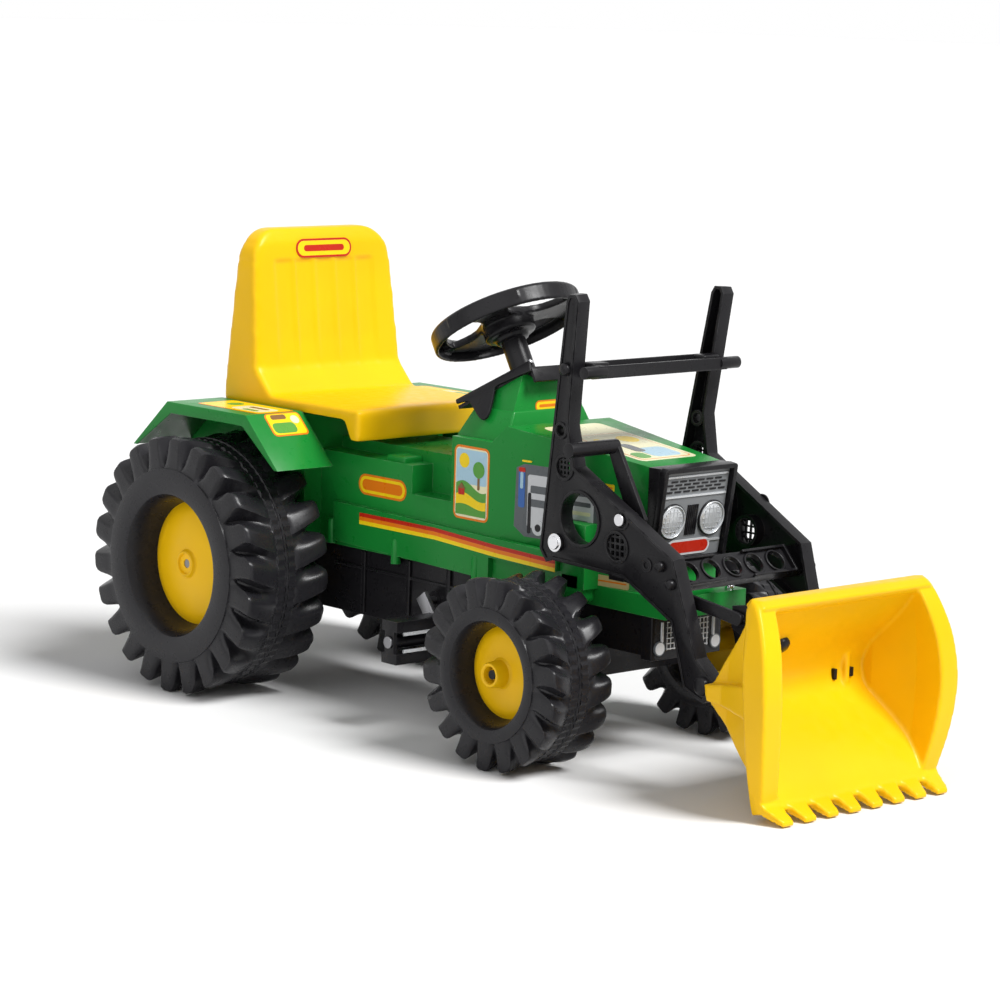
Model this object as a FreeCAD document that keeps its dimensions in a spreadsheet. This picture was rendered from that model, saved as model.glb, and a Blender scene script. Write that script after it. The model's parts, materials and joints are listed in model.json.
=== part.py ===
import FreeCAD, Part
import math
import os
import re
import Sketcher
from FreeCAD import Placement, Rotation, Vector

# Ride-on pedal tractor with a front loader, in millimetres.
# +X is forward, +Y is the rider's left, +Z is up, and the origin is on the floor
# below the middle of the part. Every size is a cell of the sheet Sizes.

SIZES = {
    # Layout
    "rear_axle_x": -435,          # rear axle, along the tractor
    "front_axle_x": 182,          # front axle, along the tractor
    "run_gap": 0.1,               # radial clearance of a turning fit
    "side_gap": 0.4,              # clearance between flat faces that move past each other
    # Rear wheels
    "rear_radius": 180,           # over the lugs
    "rear_tread": 165,            # carcass below the lugs
    "rear_side": 136,             # outer edge of the flat sidewall
    "rear_mouth": 97.5,           # opening in the sidewall
    "rear_seat": 86.5,            # where the disc sits
    "rear_width": 144,
    "rear_lip": 46,               # depth of the mouth down to the disc
    "rear_plane_y": 210,          # centre plane of the wheel
    "rear_lugs": 22,
    "rear_lug_wide": 24,
    "rear_dome": 39,              # foot of the hub, from the centre plane
    "rear_hub_face": 44,          # face of the hub, from the centre plane
    "rear_hub_radius": 15,
    "rear_hub_back": 49,          # inner end of the hub, from the centre plane
    # Front wheels
    "front_radius": 125,
    "front_tread": 114,
    "front_side": 87,
    "front_mouth": 67.5,
    "front_seat": 60,
    "front_width": 108,
    "front_lip": 36,
    "front_plane_y": 192.5,
    "front_lugs": 18,
    "front_lug_wide": 19,
    "front_dome": 25,
    "front_hub_face": 47.5,
    "front_hub_radius": 16,
    "front_hub_back": 50,
    # Both wheels
    "tyre_wall": 4,
    "shoulder": 17,               # width of the slope from the tread to the sidewall
    "lug_bevel": 12,
    "disc_wall": 3.5,
    "press_gap": 0.1,             # disc in its tyre
    "axle_radius": 6,
    "axle_recess": 5,             # axle end below the hub face
    "washer_radius": 13,
    "washer_thick": 3,
    # Lower chassis
    "tub_rear_x": -480,
    "tub_front_x": -20,
    "tub_floor": 122,
    "tub_top": 240,
    "tub_wall": 4,
    "rail_half": 58,              # outer face of the front rails
    "rail_wide": 9,
    "rail_floor": 145,
    "rail_front_x": 276,
    "bush_radius": 12,
    "bush_flange": 17,
    "bush_flange_thick": 3,
    # Body shell
    "body_wall": 4,
    "body_floor": 214,
    "body_rear_x": -490,
    "arch_front_x": -329,         # front of the block between the rear wheels
    "arch_half": 128,
    "flange_lap": 7,              # ledge round its top, under the seat and fenders
    "arch_top": 396,
    "body_half": 97,
    "panel_top": 344,
    "notch_rear_x": -137,
    "notch_floor": 305,
    "cowl_rear_x": -58,
    "cowl_top": 394,
    "cowl_front_x": 20,
    "hood_rear_x": 46,
    "hood_rear_top": 418,
    "hood_front_x": 282,
    "hood_front_top": 391,
    "hood_front_half": 64,
    "tunnel_half": 60,
    "tunnel_top": 360,
    "pod_rear_x": -52,
    "pod_front_x": 26,
    "pod_half": 78,
    "pod_foot": 392,
    "pod_top": 486,
    "pod_top_rear_x": -44,
    "pod_top_front_x": 22,
    "pod_top_half": 45,
    # Sill and front deck
    "sill_half": 105,
    "sill_rear_x": -292,
    "sill_front_x": 158,
    "sill_rear_top": 276,
    "sill_front_top": 266,
    "sill_rear_floor": 221,
    "sill_front_floor": 212,
    "sill_step_x": 28,            # where the sill rises over the front wheel
    "sill_step_floor": 242,
    "deck_rear_x": 60,
    "deck_front_x": 328,
    "deck_half": 74,
    "deck_floor": 201,
    "deck_top": 228,
    "boss_half_long": 22,         # block that carries the loader pivot
    "boss_top": 308,
    "boss_half": 100,
    # Nose
    "mask_half": 66,
    "mask_floor": 264,
    "mask_floor_x": 294,
    "mask_top_x": 312,
    "mask_wall": 4,
    "grille_half": 56,
    "grille_margin": 9,           # mask border above and below the grille
    "grille_thick": 2.5,
    "lamp_radius": 21,
    "lamp_y": 31,
    "lamp_drop": 70,              # lamp centre below the mask top
    "lamp_thick": 3,
    "bumper_half": 64,
    "bumper_floor": 141,
    "bumper_front_x": 296,
    "bumper_wall": 4,
    # Dash
    "visor_thick": 5,
    "visor_drop": 12,             # underside of the visor below the dash, along the column
    "visor_rear": 66,             # reach of the visor from the column's axis
    "visor_front": 58,
    "visor_rear_half": 74,
    "visor_front_half": 42,
    "visor_lip": 16,
    # Seat
    "seat_wall": 5,
    "seat_rear_x": -506,
    "seat_front_x": -208,
    "seat_pan": 413,              # level of the sitting face
    "seat_pan_rear_x": -400,
    "seat_bend": 34,              # rise of the bend from pan to back
    "seat_back_x": -432,
    "seat_top_x": -453,
    "seat_top_rear_x": -490,
    "seat_top": 642,
    "seat_foot_half": 135,
    "seat_shoulder": 590,
    "seat_shoulder_half": 127,
    "seat_top_half": 118,
    "seat_corner": 20,
    "seat_skirt": 29,             # front skirt below the seat's foot
    "seat_skirt_long": 18,
    "bolt_head": 8,
    "bolt_head_thick": 4,
    "seat_bolt_x": -350,
    "seat_bolt_pitch": 90,
    "seat_bolt_y": 36,
    # Fenders
    "fender_wall": 4,
    "fender_top": 400,
    "fender_seat_gap": 3,
    "fender_outer_y": 236,
    "fender_rear_fold_x": -504,
    "fender_front_fold_x": -327,
    "fender_foot": 331,
    "fender_rear_run": 78,        # reach of the sloping ends over fender_fall
    "fender_front_run": 71,
    "fender_fall": 69,
    "fender_lip": 16,
    # Front axle and steering
    "beam_half_long": 15,
    "beam_drop": 20,              # underside of the beam below the front axle
    "beam_half": 95,
    "fork_reach": 128,
    "fork_thick": 6,
    "kingpin_y": 112,
    "kingpin_radius": 5,
    "kingpin_over": 5,            # kingpin end beyond the fork
    "knuckle_radius": 12,
    "steer_arm": 41.2,            # kingpin to tie rod pin
    "steer_arm_wide": 20,
    "steer_arm_thick": 6,
    "tie_radius": 5,
    "tie_drop": 9,                # tie rod below the front axle
    "tie_pin_radius": 4,
    "tie_pin_slack": 0.6,
    "tie_slot_long": 8.5,
    "tie_plate_wide": 26,
    "tie_plate_long": 24,
    "tie_plate_thick": 6,
    "column_x": -21,              # column axis where it leaves the dash
    "column_z": 470,
    "column_tilt": 30,
    "column_radius": 17,
    "column_rod": 6,
    "column_up": 70,              # dash to wheel hub
    "column_down": 368,           # dash to drop arm
    "drop_arm_wide": 18,
    "drop_arm_thick": 6,
    "collar_radius": 24,
    "collar_long": 12,
    "bracket_z": 212,             # lower column bearing
    "bracket_thick": 6,
    "bracket_long": 70,
    "wheel_radius": 105,
    "wheel_rim": 10,
    "wheel_hub": 30,
    "wheel_hub_long": 30,
    "wheel_spoke_wide": 34,
    "wheel_spoke_thick": 9,
    "wheel_screw_radius": 4,
    # Pedals and chain
    "crank_x": -90,
    "crank_z": 165,
    "crank_throw": 52,
    "crank_angle": 38,            # right pedal ahead of straight down
    "crank_arm_wide": 20,
    "crank_arm_thick": 7,
    "crank_arm_y": 110,           # middle of the crank arm
    "spindle_radius": 5,
    "spindle_cap": 8,
    "spindle_cap_thick": 3,
    "pedal_inner_y": 116,
    "pedal_long": 84,
    "pedal_block_thick": 14,
    "pedal_block_wide": 30,
    "pedal_block_out": 22,        # spindle to the middle of a block
    "pedal_sleeve": 9,
    "pedal_end_thick": 6,
    "sprocket_radius": 24,
    "sprocket_tooth": 3,
    "sprocket_teeth": 14,
    "sprocket_thick": 5,
    "sprocket_y": 30,
    "chain_gap": 0.6,
    "chain_thick": 5,
    "chain_wide": 7,
    # Loader arms
    "lift_x": 183,                # loader pivot
    "lift_z": 286,
    "arm_foot_y": 103,            # middle of an arm at floor level
    "arm_lean": 2.73,             # the arms spread upwards
    "arm_inner_y": 105.4,         # inner end of the pivot collars
    "arm_wide": 20,
    "arm_edge": 4,
    "arm_seat_y": 131,            # nut and bolt seats inside the arm's rim
    "arm_tip_x": 211,
    "arm_tip_z": 600,
    "arm_tip_half": 11,
    "arm_heel_x": 148,
    "arm_heel_z": 262,
    "arm_waist_x": 203,
    "arm_waist_z": 440,
    "arm_notch_x": 214,           # where the upright meets the sloping beam
    "arm_notch_z": 388,
    "arm_knee_x": 390,
    "arm_knee_z": 293,
    "arm_shin_x": 430,
    "arm_shin_z": 174,
    "arm_back_knee_x": 386,
    "arm_back_knee_z": 213,
    "arm_back_ankle_x": 408,
    "arm_back_ankle_z": 133,
    "arm_under_x": 303,
    "arm_under_z": 257,
    "arm_round": 12,
    "arm_window_x": 223,
    "arm_window_z": 322,
    "arm_window_radius": 33,
    "arm_mesh_x": 290,
    "arm_mesh_z": 295,
    "arm_mesh_radius": 17,
    "arm_hole_x": 189,
    "arm_hole_z": 432,
    "arm_hole_radius": 7,
    "arm_port_x": 195,
    "arm_port_z": 385,
    "arm_port_radius": 13,
    "arm_ring": 4,
    "nut_radius": 12,
    "nut_thick": 5,
    "top_bar_x": 214,
    "top_bar_z": 510,
    "top_bar_wide": 50,
    "top_bar_high": 16,
    "top_bar_wall": 3.5,
    "top_pin_radius": 6,
    "top_pin_x": 199,
    "top_knuckle_x": 234,
    "top_knuckle_radius": 8,
    "top_bar_half": 116.5,
    "top_end_y": 140,
    "cross_x": 372,
    "cross_z": 270,
    "cross_tilt": 42,
    "cross_half": 123.5,          # its ends are trimmed by the arms
    "cross_high": 40,
    "cross_wall": 4,
    "cross_flange": 12,
    "cross_notch": 18,            # lets the tilt link pass
    "cross_notch_gap": 2,
    "cross_holes": 5,
    "cross_hole_radius": 13,
    "cross_pitch": 39.5,
    # Bucket and its tilt linkage
    "hinge_x": 442,               # bucket pivot
    "hinge_z": 142,
    "hinge_radius": 6,
    "hinge_eye": 16,
    "hinge_inner_y": 98.8,
    "hinge_outer_y": 121,
    "ear_thick": 12,
    "bucket_half": 158,
    "bucket_wall": 5,
    "bucket_back_run": 95,        # from the hinge
    "bucket_back_z": 240,
    "bucket_top_run": 15,         # from the back
    "bucket_top_rise": 33,
    "bucket_deep_run": 40,        # from the hinge
    "bucket_deep_z": 144,
    "bucket_low_run": 106,
    "bucket_low_z": 66,
    "bucket_heel_run": 120,
    "bucket_heel_z": 8,
    "bucket_lip_run": 26,         # from the heel
    "bucket_lip_z": 6,
    "bucket_brow_run": 30,        # from the top
    "bucket_brow_drop": 11,
    "bucket_cheek_run": 173,      # from the hinge
    "bucket_cheek_top_z": 195,
    "bucket_cheek_low_z": 70,
    "teeth": 8,
    "tooth_wide": 20,
    "tooth_long": 14,
    "tooth_high": 9,
    "lever_x": 299,               # tilt lever pivot
    "lever_z": 331,
    "lever_outer_y": 103.5,
    "lever_thick": 6,
    "lever_half_wide": 13,
    "lever_foot_x": 267,          # link pin at the lower end of the lever
    "lever_foot_z": 254,
    "grip_x": 253,
    "grip_z": 417,
    "grip_radius": 9.5,
    "grip_outer_y": 181,
    "lever_bolt_radius": 4,
    "link_front_x": 472,          # link pin at the bucket bracket
    "link_front_z": 228,
    "link_thick": 6,
    "link_half_high": 8,
    "link_pin_radius": 4,
    "link_pin_slack": 3,          # play at the opened pivot of the linkage
    "bracket_ear_thick": 6,
    "bracket_eye": 14,
}

doc = FreeCAD.newDocument("PedalTractor")
sheet = doc.addObject("Spreadsheet::Sheet", "Sizes")
for row, (alias, value) in enumerate(SIZES.items(), start=1):
    sheet.set(f"A{row}", alias.replace("_", " "))
    sheet.set(f"B{row}", str(value))
    sheet.setAlias(f"B{row}", alias)
doc.recompute()

ALIAS = re.compile(r"\b(" + "|".join(sorted(SIZES, key=len, reverse=True)) + r")\b")
X_AXIS, Y_AXIS, Z_AXIS = Vector(1, 0, 0), Vector(0, 1, 0), Vector(0, 0, 1)
nodes = {}


# Helpers: every size is an expression over the sheet's aliases

def formula(text):
    return ALIAS.sub(r"Sizes.\1", str(text))


def bind(item, **sizes):
    for name, text in sizes.items():
        item.setExpression(name, formula(text))
    return item


def place(item, x="0", y="0", z="0", axis=None, angle="0"):
    if axis is not None:
        item.Placement = Placement(Vector(), Rotation(axis, 1))
        item.setExpression("Placement.Rotation.Angle", formula(f"({angle}) * 1 deg"))
    for letter, text in zip("xyz", (x, y, z)):
        item.setExpression(f"Placement.Base.{letter}", formula(text))
    return item


def box(x, y, z):
    """A box between two limits on each axis."""
    item = doc.addObject("Part::Box", "Box")
    bind(item, Length=f"({x[1]}) - ({x[0]})", Width=f"({y[1]}) - ({y[0]})", Height=f"({z[1]}) - ({z[0]})")
    return place(item, x[0], y[0], z[0])


def rod_y(radius, start, end, x="0", z="0"):
    """A round bar along Y between two stations."""
    item = doc.addObject("Part::Cylinder", "Rod")
    bind(item, Radius=radius, Height=f"({end}) - ({start})")
    item.Placement = Placement(Vector(), Rotation(X_AXIS, -90))
    return place(item, x, start, z)


def rod_z(radius, start, end, x="0", y="0"):
    item = doc.addObject("Part::Cylinder", "Rod")
    bind(item, Radius=radius, Height=f"({end}) - ({start})")
    return place(item, x, y, start)


def fuse(*items):
    item = doc.addObject("Part::MultiFuse", "Union")
    item.Shapes = list(items)
    item.Refine = True
    return item


def cut(base, *tools):
    item = doc.addObject("Part::Cut", "Cut")
    item.Base = base
    item.Tool = tools[0] if len(tools) == 1 else fuse(*tools)
    return item


def common(first, second):
    item = doc.addObject("Part::Common", "Common")
    item.Base = first
    item.Tool = second
    return item


def group(*items):
    item = doc.addObject("Part::Compound", "Group")
    item.Links = list(items)
    return item


def node(name, item):
    item.Label = name
    nodes[name] = item
    return item


def plane_of(body, role):
    return [feature for feature in body.Origin.OriginFeatures if feature.Role == role][0]


def sketch_on(body, role):
    sketch = body.newObject("Sketcher::SketchObject", "Sketch")
    sketch.AttachmentSupport = [(plane_of(body, role), "")]
    sketch.MapMode = "FlatFace"
    return sketch


def pin_point(sketch, geometry, position, point):
    for kind, text in zip(("DistanceX", "DistanceY"), point):
        index = sketch.addConstraint(Sketcher.Constraint(kind, -1, 1, geometry, position, 1.0))
        sketch.setExpression(f"Constraints[{index}]", formula(text))


def draw_outline(sketch, points):
    """A closed outline whose corners are held by expressions."""
    count = len(points)
    first = sketch.GeometryCount
    turn = 2 * math.pi / count
    guess = [Vector(math.cos(turn * step), math.sin(turn * step), 0) for step in range(count)]
    for step in range(count):
        sketch.addGeometry(Part.LineSegment(guess[step], guess[(step + 1) % count]))
    for step in range(count):
        follower = first + (step + 1) % count
        sketch.addConstraint(Sketcher.Constraint("Coincident", first + step, 2, follower, 1))
    for step, point in enumerate(points):
        pin_point(sketch, first + step, 1, point)


def draw_circle(sketch, point, radius):
    index = sketch.addGeometry(Part.Circle(Vector(), Z_AXIS, 1))
    pin_point(sketch, index, 3, point)
    size = sketch.addConstraint(Sketcher.Constraint("Radius", index, 1.0))
    sketch.setExpression(f"Constraints[{size}]", formula(radius))


def prism(role, points, length):
    """A body padded to both sides of one of its origin planes."""
    body = doc.addObject("PartDesign::Body", "Body")
    sketch = sketch_on(body, role)
    draw_outline(sketch, points)
    pad = body.newObject("PartDesign::Pad", "Pad")
    pad.Profile = sketch
    pad.SideType = "Symmetric"
    bind(pad, Length=length)
    doc.recompute()
    return body, pad


def slab(role, points, length, **where):
    body, pad = prism(role, points, length)
    return place(body, **where)


def turned(points):
    """A body turned about Y from an outline of (station, radius) corners."""
    body = doc.addObject("PartDesign::Body", "Body")
    sketch = sketch_on(body, "YZ_Plane")
    draw_outline(sketch, points)
    spin = body.newObject("PartDesign::Revolution", "Revolution")
    spin.Profile = sketch
    spin.ReferenceAxis = (sketch, ["H_Axis"])
    spin.Angle = 360
    doc.recompute()
    return body


def mirror_signs():
    return (("right", "-", 180), ("left", "", 0))


def side_span(sign, near, far):
    """Limits along Y of a piece between two distances from the middle plane, on one side of it."""
    return (f"-({far})", f"-({near})") if sign else (near, far)


# Wheels

def tyre(name, end, x, turn, side):
    half = f"{end}_width / 2"
    lip = f"({half} - {end}_lip)"
    flank = f"({half} - shoulder)"
    inner = f"({half} - tyre_wall)"
    outer = [(lip, f"{end}_seat"), (half, f"{end}_mouth"), (half, f"{end}_side"), (flank, f"{end}_tread")]
    lining = [(lip, f"{end}_seat + tyre_wall"), (inner, f"{end}_mouth + tyre_wall"),
              (inner, f"{end}_side"), (flank, f"{end}_tread - tyre_wall")]
    outline = outer + [(f"-({a})", r) for a, r in reversed(outer)]
    outline += [(f"-({a})", r) for a, r in lining] + list(reversed(lining))
    body = turned(outline)
    lug_sketch = sketch_on(body, "YZ_Plane")
    root = f"-({end}_tread - tyre_wall / 2)"
    lug = [(f"-({half} - tyre_wall / 2)", f"-{end}_side"), (f"-({half} - lug_bevel)", f"-{end}_radius"),
           (f"{half} - lug_bevel", f"-{end}_radius"), (f"{half} - tyre_wall / 2", f"-{end}_side"),
           (flank, root), (f"-{flank}", root)]
    draw_outline(lug_sketch, lug)
    pad = body.newObject("PartDesign::Pad", "Lug")
    pad.Profile = lug_sketch
    pad.SideType = "Symmetric"
    bind(pad, Length=f"{end}_lug_wide")
    doc.recompute()
    ring = body.newObject("PartDesign::PolarPattern", "LugRing")
    ring.Originals = [pad]
    ring.Axis = (lug_sketch, ["H_Axis"])
    ring.Angle = 360
    bind(ring, Occurrences=f"{end}_lugs")
    body.Tip = ring
    return node(name, place(body, x, f"{side}{end}_plane_y", f"{end}_radius", Z_AXIS, turn))


def disc(name, end, x, turn, side):
    edge = f"({end}_seat - press_gap)"
    plane = f"({end}_width / 2 - {end}_lip)"
    bore = "axle_radius + run_gap"
    hub = f"{end}_hub_radius"
    outline = [(f"{end}_hub_face", bore), (f"{end}_hub_face", hub), (f"{end}_dome", f"{hub} + disc_wall"),
               (plane, edge), (f"-{plane}", edge), (f"-{plane}", f"{edge} - disc_wall"),
               (f"{plane} - disc_wall", f"{edge} - disc_wall"), (f"{end}_dome - disc_wall * 2", hub),
               (f"-{end}_hub_back", hub), (f"-{end}_hub_back", bore)]
    body = turned(outline)
    return node(name, place(body, x, f"{side}{end}_plane_y", f"{end}_radius", Z_AXIS, turn))


def make_wheels():
    for end in ("rear", "front"):
        for side, sign, turn in mirror_signs():
            tyre(f"{end}_tyre_{side}", end, f"{end}_axle_x", turn, sign)
            disc(f"{end}_disc_{side}", end, f"{end}_axle_x", turn, sign)
    reach = "rear_plane_y + rear_hub_face - axle_recess"
    node("rear_axle", rod_y("axle_radius", f"-({reach})", reach, "rear_axle_x", "rear_radius"))
    washers = []
    for side, sign, turn in mirror_signs():
        inner = "rear_plane_y - rear_hub_back"
        near = f"{sign}({inner})" if sign else f"{inner} - washer_thick"
        far = f"{sign}({inner}) + washer_thick" if sign else inner
        washer = rod_y("washer_radius", near, far, "rear_axle_x", "rear_radius")
        bore = rod_y("axle_radius + run_gap", near, far, "rear_axle_x", "rear_radius")
        washers.append(cut(washer, bore))
    node("rear_washers", group(*washers))


# Lower chassis with its bushes

TUB_HALF = "(body_half - body_wall - side_gap)"


def bush_pair(name, x, z):
    bushes = []
    for side, sign, turn in mirror_signs():
        inside = f"({TUB_HALF} - tub_wall)"
        bush = fuse(rod_y("bush_radius", inside, f"{TUB_HALF} + side_gap"),
                    rod_y("bush_flange", f"{inside} - bush_flange_thick", inside))
        bore = rod_y("axle_radius + run_gap", f"{inside} - tub_wall * 2", f"{TUB_HALF} + tub_wall")
        bored = cut(bush, bore)
        bushes.append(place(bored, x, "0", z, Z_AXIS, turn))
    return node(name, group(*bushes))


def make_chassis():
    tub = box(("tub_rear_x", "tub_front_x"), (f"-{TUB_HALF}", TUB_HALF), ("tub_floor", "tub_top"))
    room = box(("tub_rear_x + tub_wall", "tub_front_x - tub_wall"),
               (f"-{TUB_HALF} + tub_wall", f"{TUB_HALF} - tub_wall"),
               ("tub_floor + tub_wall", "tub_top + tub_wall"))
    seats = [rod_y("bush_radius", f"-{TUB_HALF} - tub_wall", f"{TUB_HALF} + tub_wall", x, z)
             for x, z in (("rear_axle_x", "rear_radius"), ("crank_x", "crank_z"))]
    hollow = cut(tub, room, *seats)
    rails = [box(("tub_front_x - tub_wall", "rail_front_x"), limits, ("rail_floor", "deck_top - body_wall"))
             for limits in (("-rail_half", "-rail_half + rail_wide"), ("rail_half - rail_wide", "rail_half"))]
    node("lower_chassis", fuse(hollow, *rails))
    bush_pair("rear_axle_bushes", "rear_axle_x", "rear_radius")
    bush_pair("crank_bushes", "crank_x", "crank_z")
    face = box(("rail_front_x", "bumper_front_x"), ("-bumper_half", "bumper_half"),
               ("bumper_floor", "deck_floor"))
    hollow = box(("rail_front_x", "bumper_front_x - bumper_wall"),
                 ("-bumper_half + bumper_wall", "bumper_half - bumper_wall"),
                 ("bumper_floor + bumper_wall", "deck_floor - bumper_wall"))
    node("front_bumper", cut(face, hollow))


# Green body shell

COLUMN = ("column_x", "0", "column_z", Y_AXIS, "-column_tilt")


def body_mass(skin):
    """The body's outer form, or its hollow when skin is the wall."""
    plan = [("body_rear_x + {0}", "arch_half - {0}"), ("arch_front_x - {0}", "arch_half - {0}"),
            ("arch_front_x - {0}", "body_half - {0}"), ("cowl_front_x", "body_half - {0}"),
            ("hood_front_x - {0}", "hood_front_half - {0}")]
    plan = [(x.format(skin), y.format(skin)) for x, y in plan]
    plan += [(x, f"-({y})") for x, y in reversed(plan)]
    floor = f"body_floor - ({skin}) * 2"
    profile = [("body_rear_x + {0}", floor), ("body_rear_x + {0}", "arch_top - {0}"),
               ("arch_front_x - {0}", "arch_top - {0}"), ("arch_front_x - {0}", "panel_top - {0}"),
               ("notch_rear_x - {0}", "panel_top - {0}"), ("notch_rear_x - {0}", "notch_floor - {0}"),
               ("cowl_rear_x + {0}", "notch_floor - {0}"), ("cowl_rear_x + {0}", "cowl_top - {0}"),
               ("cowl_front_x", "cowl_top - {0}"), ("hood_rear_x", "hood_rear_top - {0}"),
               ("hood_front_x - {0}", "hood_front_top - {0}"), ("hood_front_x - {0}", floor)]
    profile = [(x.format(skin), z.format(skin)) for x, z in profile]
    side = slab("XZ_Plane", profile, "arch_half * 2")
    top = slab("XY_Plane", plan, "hood_rear_top * 2")
    return common(side, top)


def pod(skin):
    """The raised dash housing: it narrows upwards and ends square to the steering column."""
    item = doc.addObject("Part::Wedge", "Pod")
    bind(item, Xmin=f"pod_rear_x + {skin}", Xmax=f"pod_front_x - {skin}", Ymin=f"pod_foot - {skin}",
         Ymax=f"pod_top - {skin}", Zmin=f"-(pod_half - {skin})", Zmax=f"pod_half - {skin}",
         X2min=f"pod_top_rear_x + {skin}", X2max=f"pod_top_front_x - {skin}",
         Z2min=f"-(pod_top_half - {skin})", Z2max=f"pod_top_half - {skin}")
    item.Placement = Placement(Vector(), Rotation(X_AXIS, 90))
    reach = "pod_top"
    over = group(box((f"-{reach}", reach), (f"-{reach}", reach), (f"-visor_drop - {skin}", reach)))
    return cut(item, place(over, *COLUMN))


def tunnel(skin):
    return box((f"body_rear_x + 2 * body_wall + {skin}", f"cowl_rear_x + body_wall - {skin}"),
               (f"-(tunnel_half - {skin})", f"tunnel_half - {skin}"),
               ("notch_floor - body_wall", f"tunnel_top - {skin}"))


def sill(sign):
    outline = [("sill_rear_x", "sill_rear_floor"), ("sill_rear_x", "sill_rear_top"),
               ("sill_front_x", "sill_front_top"), ("sill_front_x", "sill_step_floor"),
               ("sill_step_x", "sill_step_floor"), ("sill_step_x", "sill_front_floor")]
    inner = "(body_half - body_wall / 2)"
    return slab("XZ_Plane", outline, f"sill_half - {inner}", y=f"{sign}(sill_half + {inner}) / 2")


def column_tool(radius, low, high):
    """A round cutter along the steering column's axis."""
    item = doc.addObject("Part::Cylinder", "ColumnBore")
    bind(item, Radius=radius, Height=f"({high}) - ({low})")
    return place(item, f"column_x - ({low}) * sin(column_tilt)", "0",
                 f"column_z + ({low}) * cos(column_tilt)", Y_AXIS, "-column_tilt")


# The fenders stand beside the seat, on the ledge round the body's top
FENDER_INNER = "(seat_foot_half + fender_seat_gap)"
FLANGE_HALF = f"({FENDER_INNER} + flange_lap)"


def make_body():
    deck = box(("deck_rear_x", "deck_front_x"), ("-deck_half", "deck_half"), ("deck_floor", "deck_top"))
    under = box(("deck_rear_x - body_wall", "deck_front_x - body_wall"),
                ("-deck_half + body_wall", "deck_half - body_wall"),
                ("deck_floor - body_wall", "deck_top - body_wall"))
    boss_x = ("lift_x - boss_half_long", "lift_x + boss_half_long")
    bosses = [box(boss_x, limits, ("deck_top - body_wall", "boss_top"))
              for limits in (("-boss_half", "-hood_front_half"), ("hood_front_half", "boss_half"))]
    flange = box(("body_rear_x", "arch_front_x"), (f"-{FLANGE_HALF}", FLANGE_HALF),
                 ("arch_top - body_wall", "arch_top"))
    outer = fuse(body_mass("0"), pod("0"), tunnel("0"), deck, flange, *bosses)
    room = fuse(body_mass("body_wall"), pod("body_wall"), tunnel("body_wall"), under)
    shell = cut(outer, room)
    plates = [sill(sign) for sign in ("-", "")]
    bore = rod_y("axle_radius + run_gap", "-sill_half", "sill_half", "lift_x", "lift_z")
    neck = column_tool("collar_radius", "-collar_long", "column_up")
    throat = column_tool("column_rod * 2", "-column_down", "0")
    node("body_shell", cut(fuse(shell, *plates), bore, neck, throat))


# Nose: mask, grille and lamps

MASK_RISE = "(hood_front_top - mask_floor)"


def face_x(height):
    """Station of the leaning mask face at a height above its floor."""
    return f"(mask_floor_x + ({height}) * (mask_top_x - mask_floor_x) / {MASK_RISE})"


def make_nose():
    outline = [("hood_front_x", "mask_floor"), ("hood_front_x", "hood_front_top"),
               ("mask_top_x", "hood_front_top"), ("mask_floor_x", "mask_floor")]
    mask, pad = prism("XZ_Plane", outline, "mask_half * 2")
    back = [index for index, face in enumerate(pad.Shape.Faces, start=1) if face.normalAt(0, 0).x < -0.99]
    shell = mask.newObject("PartDesign::Thickness", "Shell")
    shell.Base = (pad, [f"Face{back[0]}"])
    shell.Reversed = True
    shell.Join = "Intersection"
    bind(shell, Value="mask_wall")
    node("hood_mask", mask)
    low, high = "grille_margin", f"{MASK_RISE} - grille_margin"
    plate = [(face_x(low), f"mask_floor + {low}"), (face_x(high), f"mask_floor + {high}"),
             (f"{face_x(high)} + grille_thick", f"mask_floor + {high}"),
             (f"{face_x(low)} + grille_thick", f"mask_floor + {low}")]
    node("grille_panel", slab("XZ_Plane", plate, "grille_half * 2"))
    lamps = []
    for side, sign, turn in mirror_signs():
        lamp = doc.addObject("Part::Cylinder", "Lamp")
        bind(lamp, Radius="lamp_radius", Height="lamp_thick")
        level = f"({MASK_RISE} - lamp_drop)"
        lean = f"atan2(mask_top_x - mask_floor_x; {MASK_RISE}) / 1 deg"
        lamps.append(place(lamp, f"{face_x(level)} + grille_thick", f"{sign}lamp_y", f"mask_floor + {level}",
                           Y_AXIS, f"90 + {lean}"))
    node("headlights", group(*lamps))


def make_visor():
    """A plate square to the column, with a turned-down front lip."""
    outline = [("-visor_rear", "-visor_rear_half"), ("visor_front", "-visor_front_half"),
               ("visor_front", "visor_front_half"), ("-visor_rear", "visor_rear_half")]
    plate = slab("XY_Plane", outline, "visor_thick", z="-visor_drop + visor_thick / 2")
    lip = box(("visor_front - visor_thick", "visor_front"), ("-visor_front_half", "visor_front_half"),
              ("-visor_drop - visor_lip", "-visor_drop + visor_thick"))
    hole = rod_z("collar_radius", "-visor_drop * 2", "visor_drop")
    node("dash_visor", place(cut(fuse(plate, lip), hole), *COLUMN))


# Seat and fenders

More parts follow.
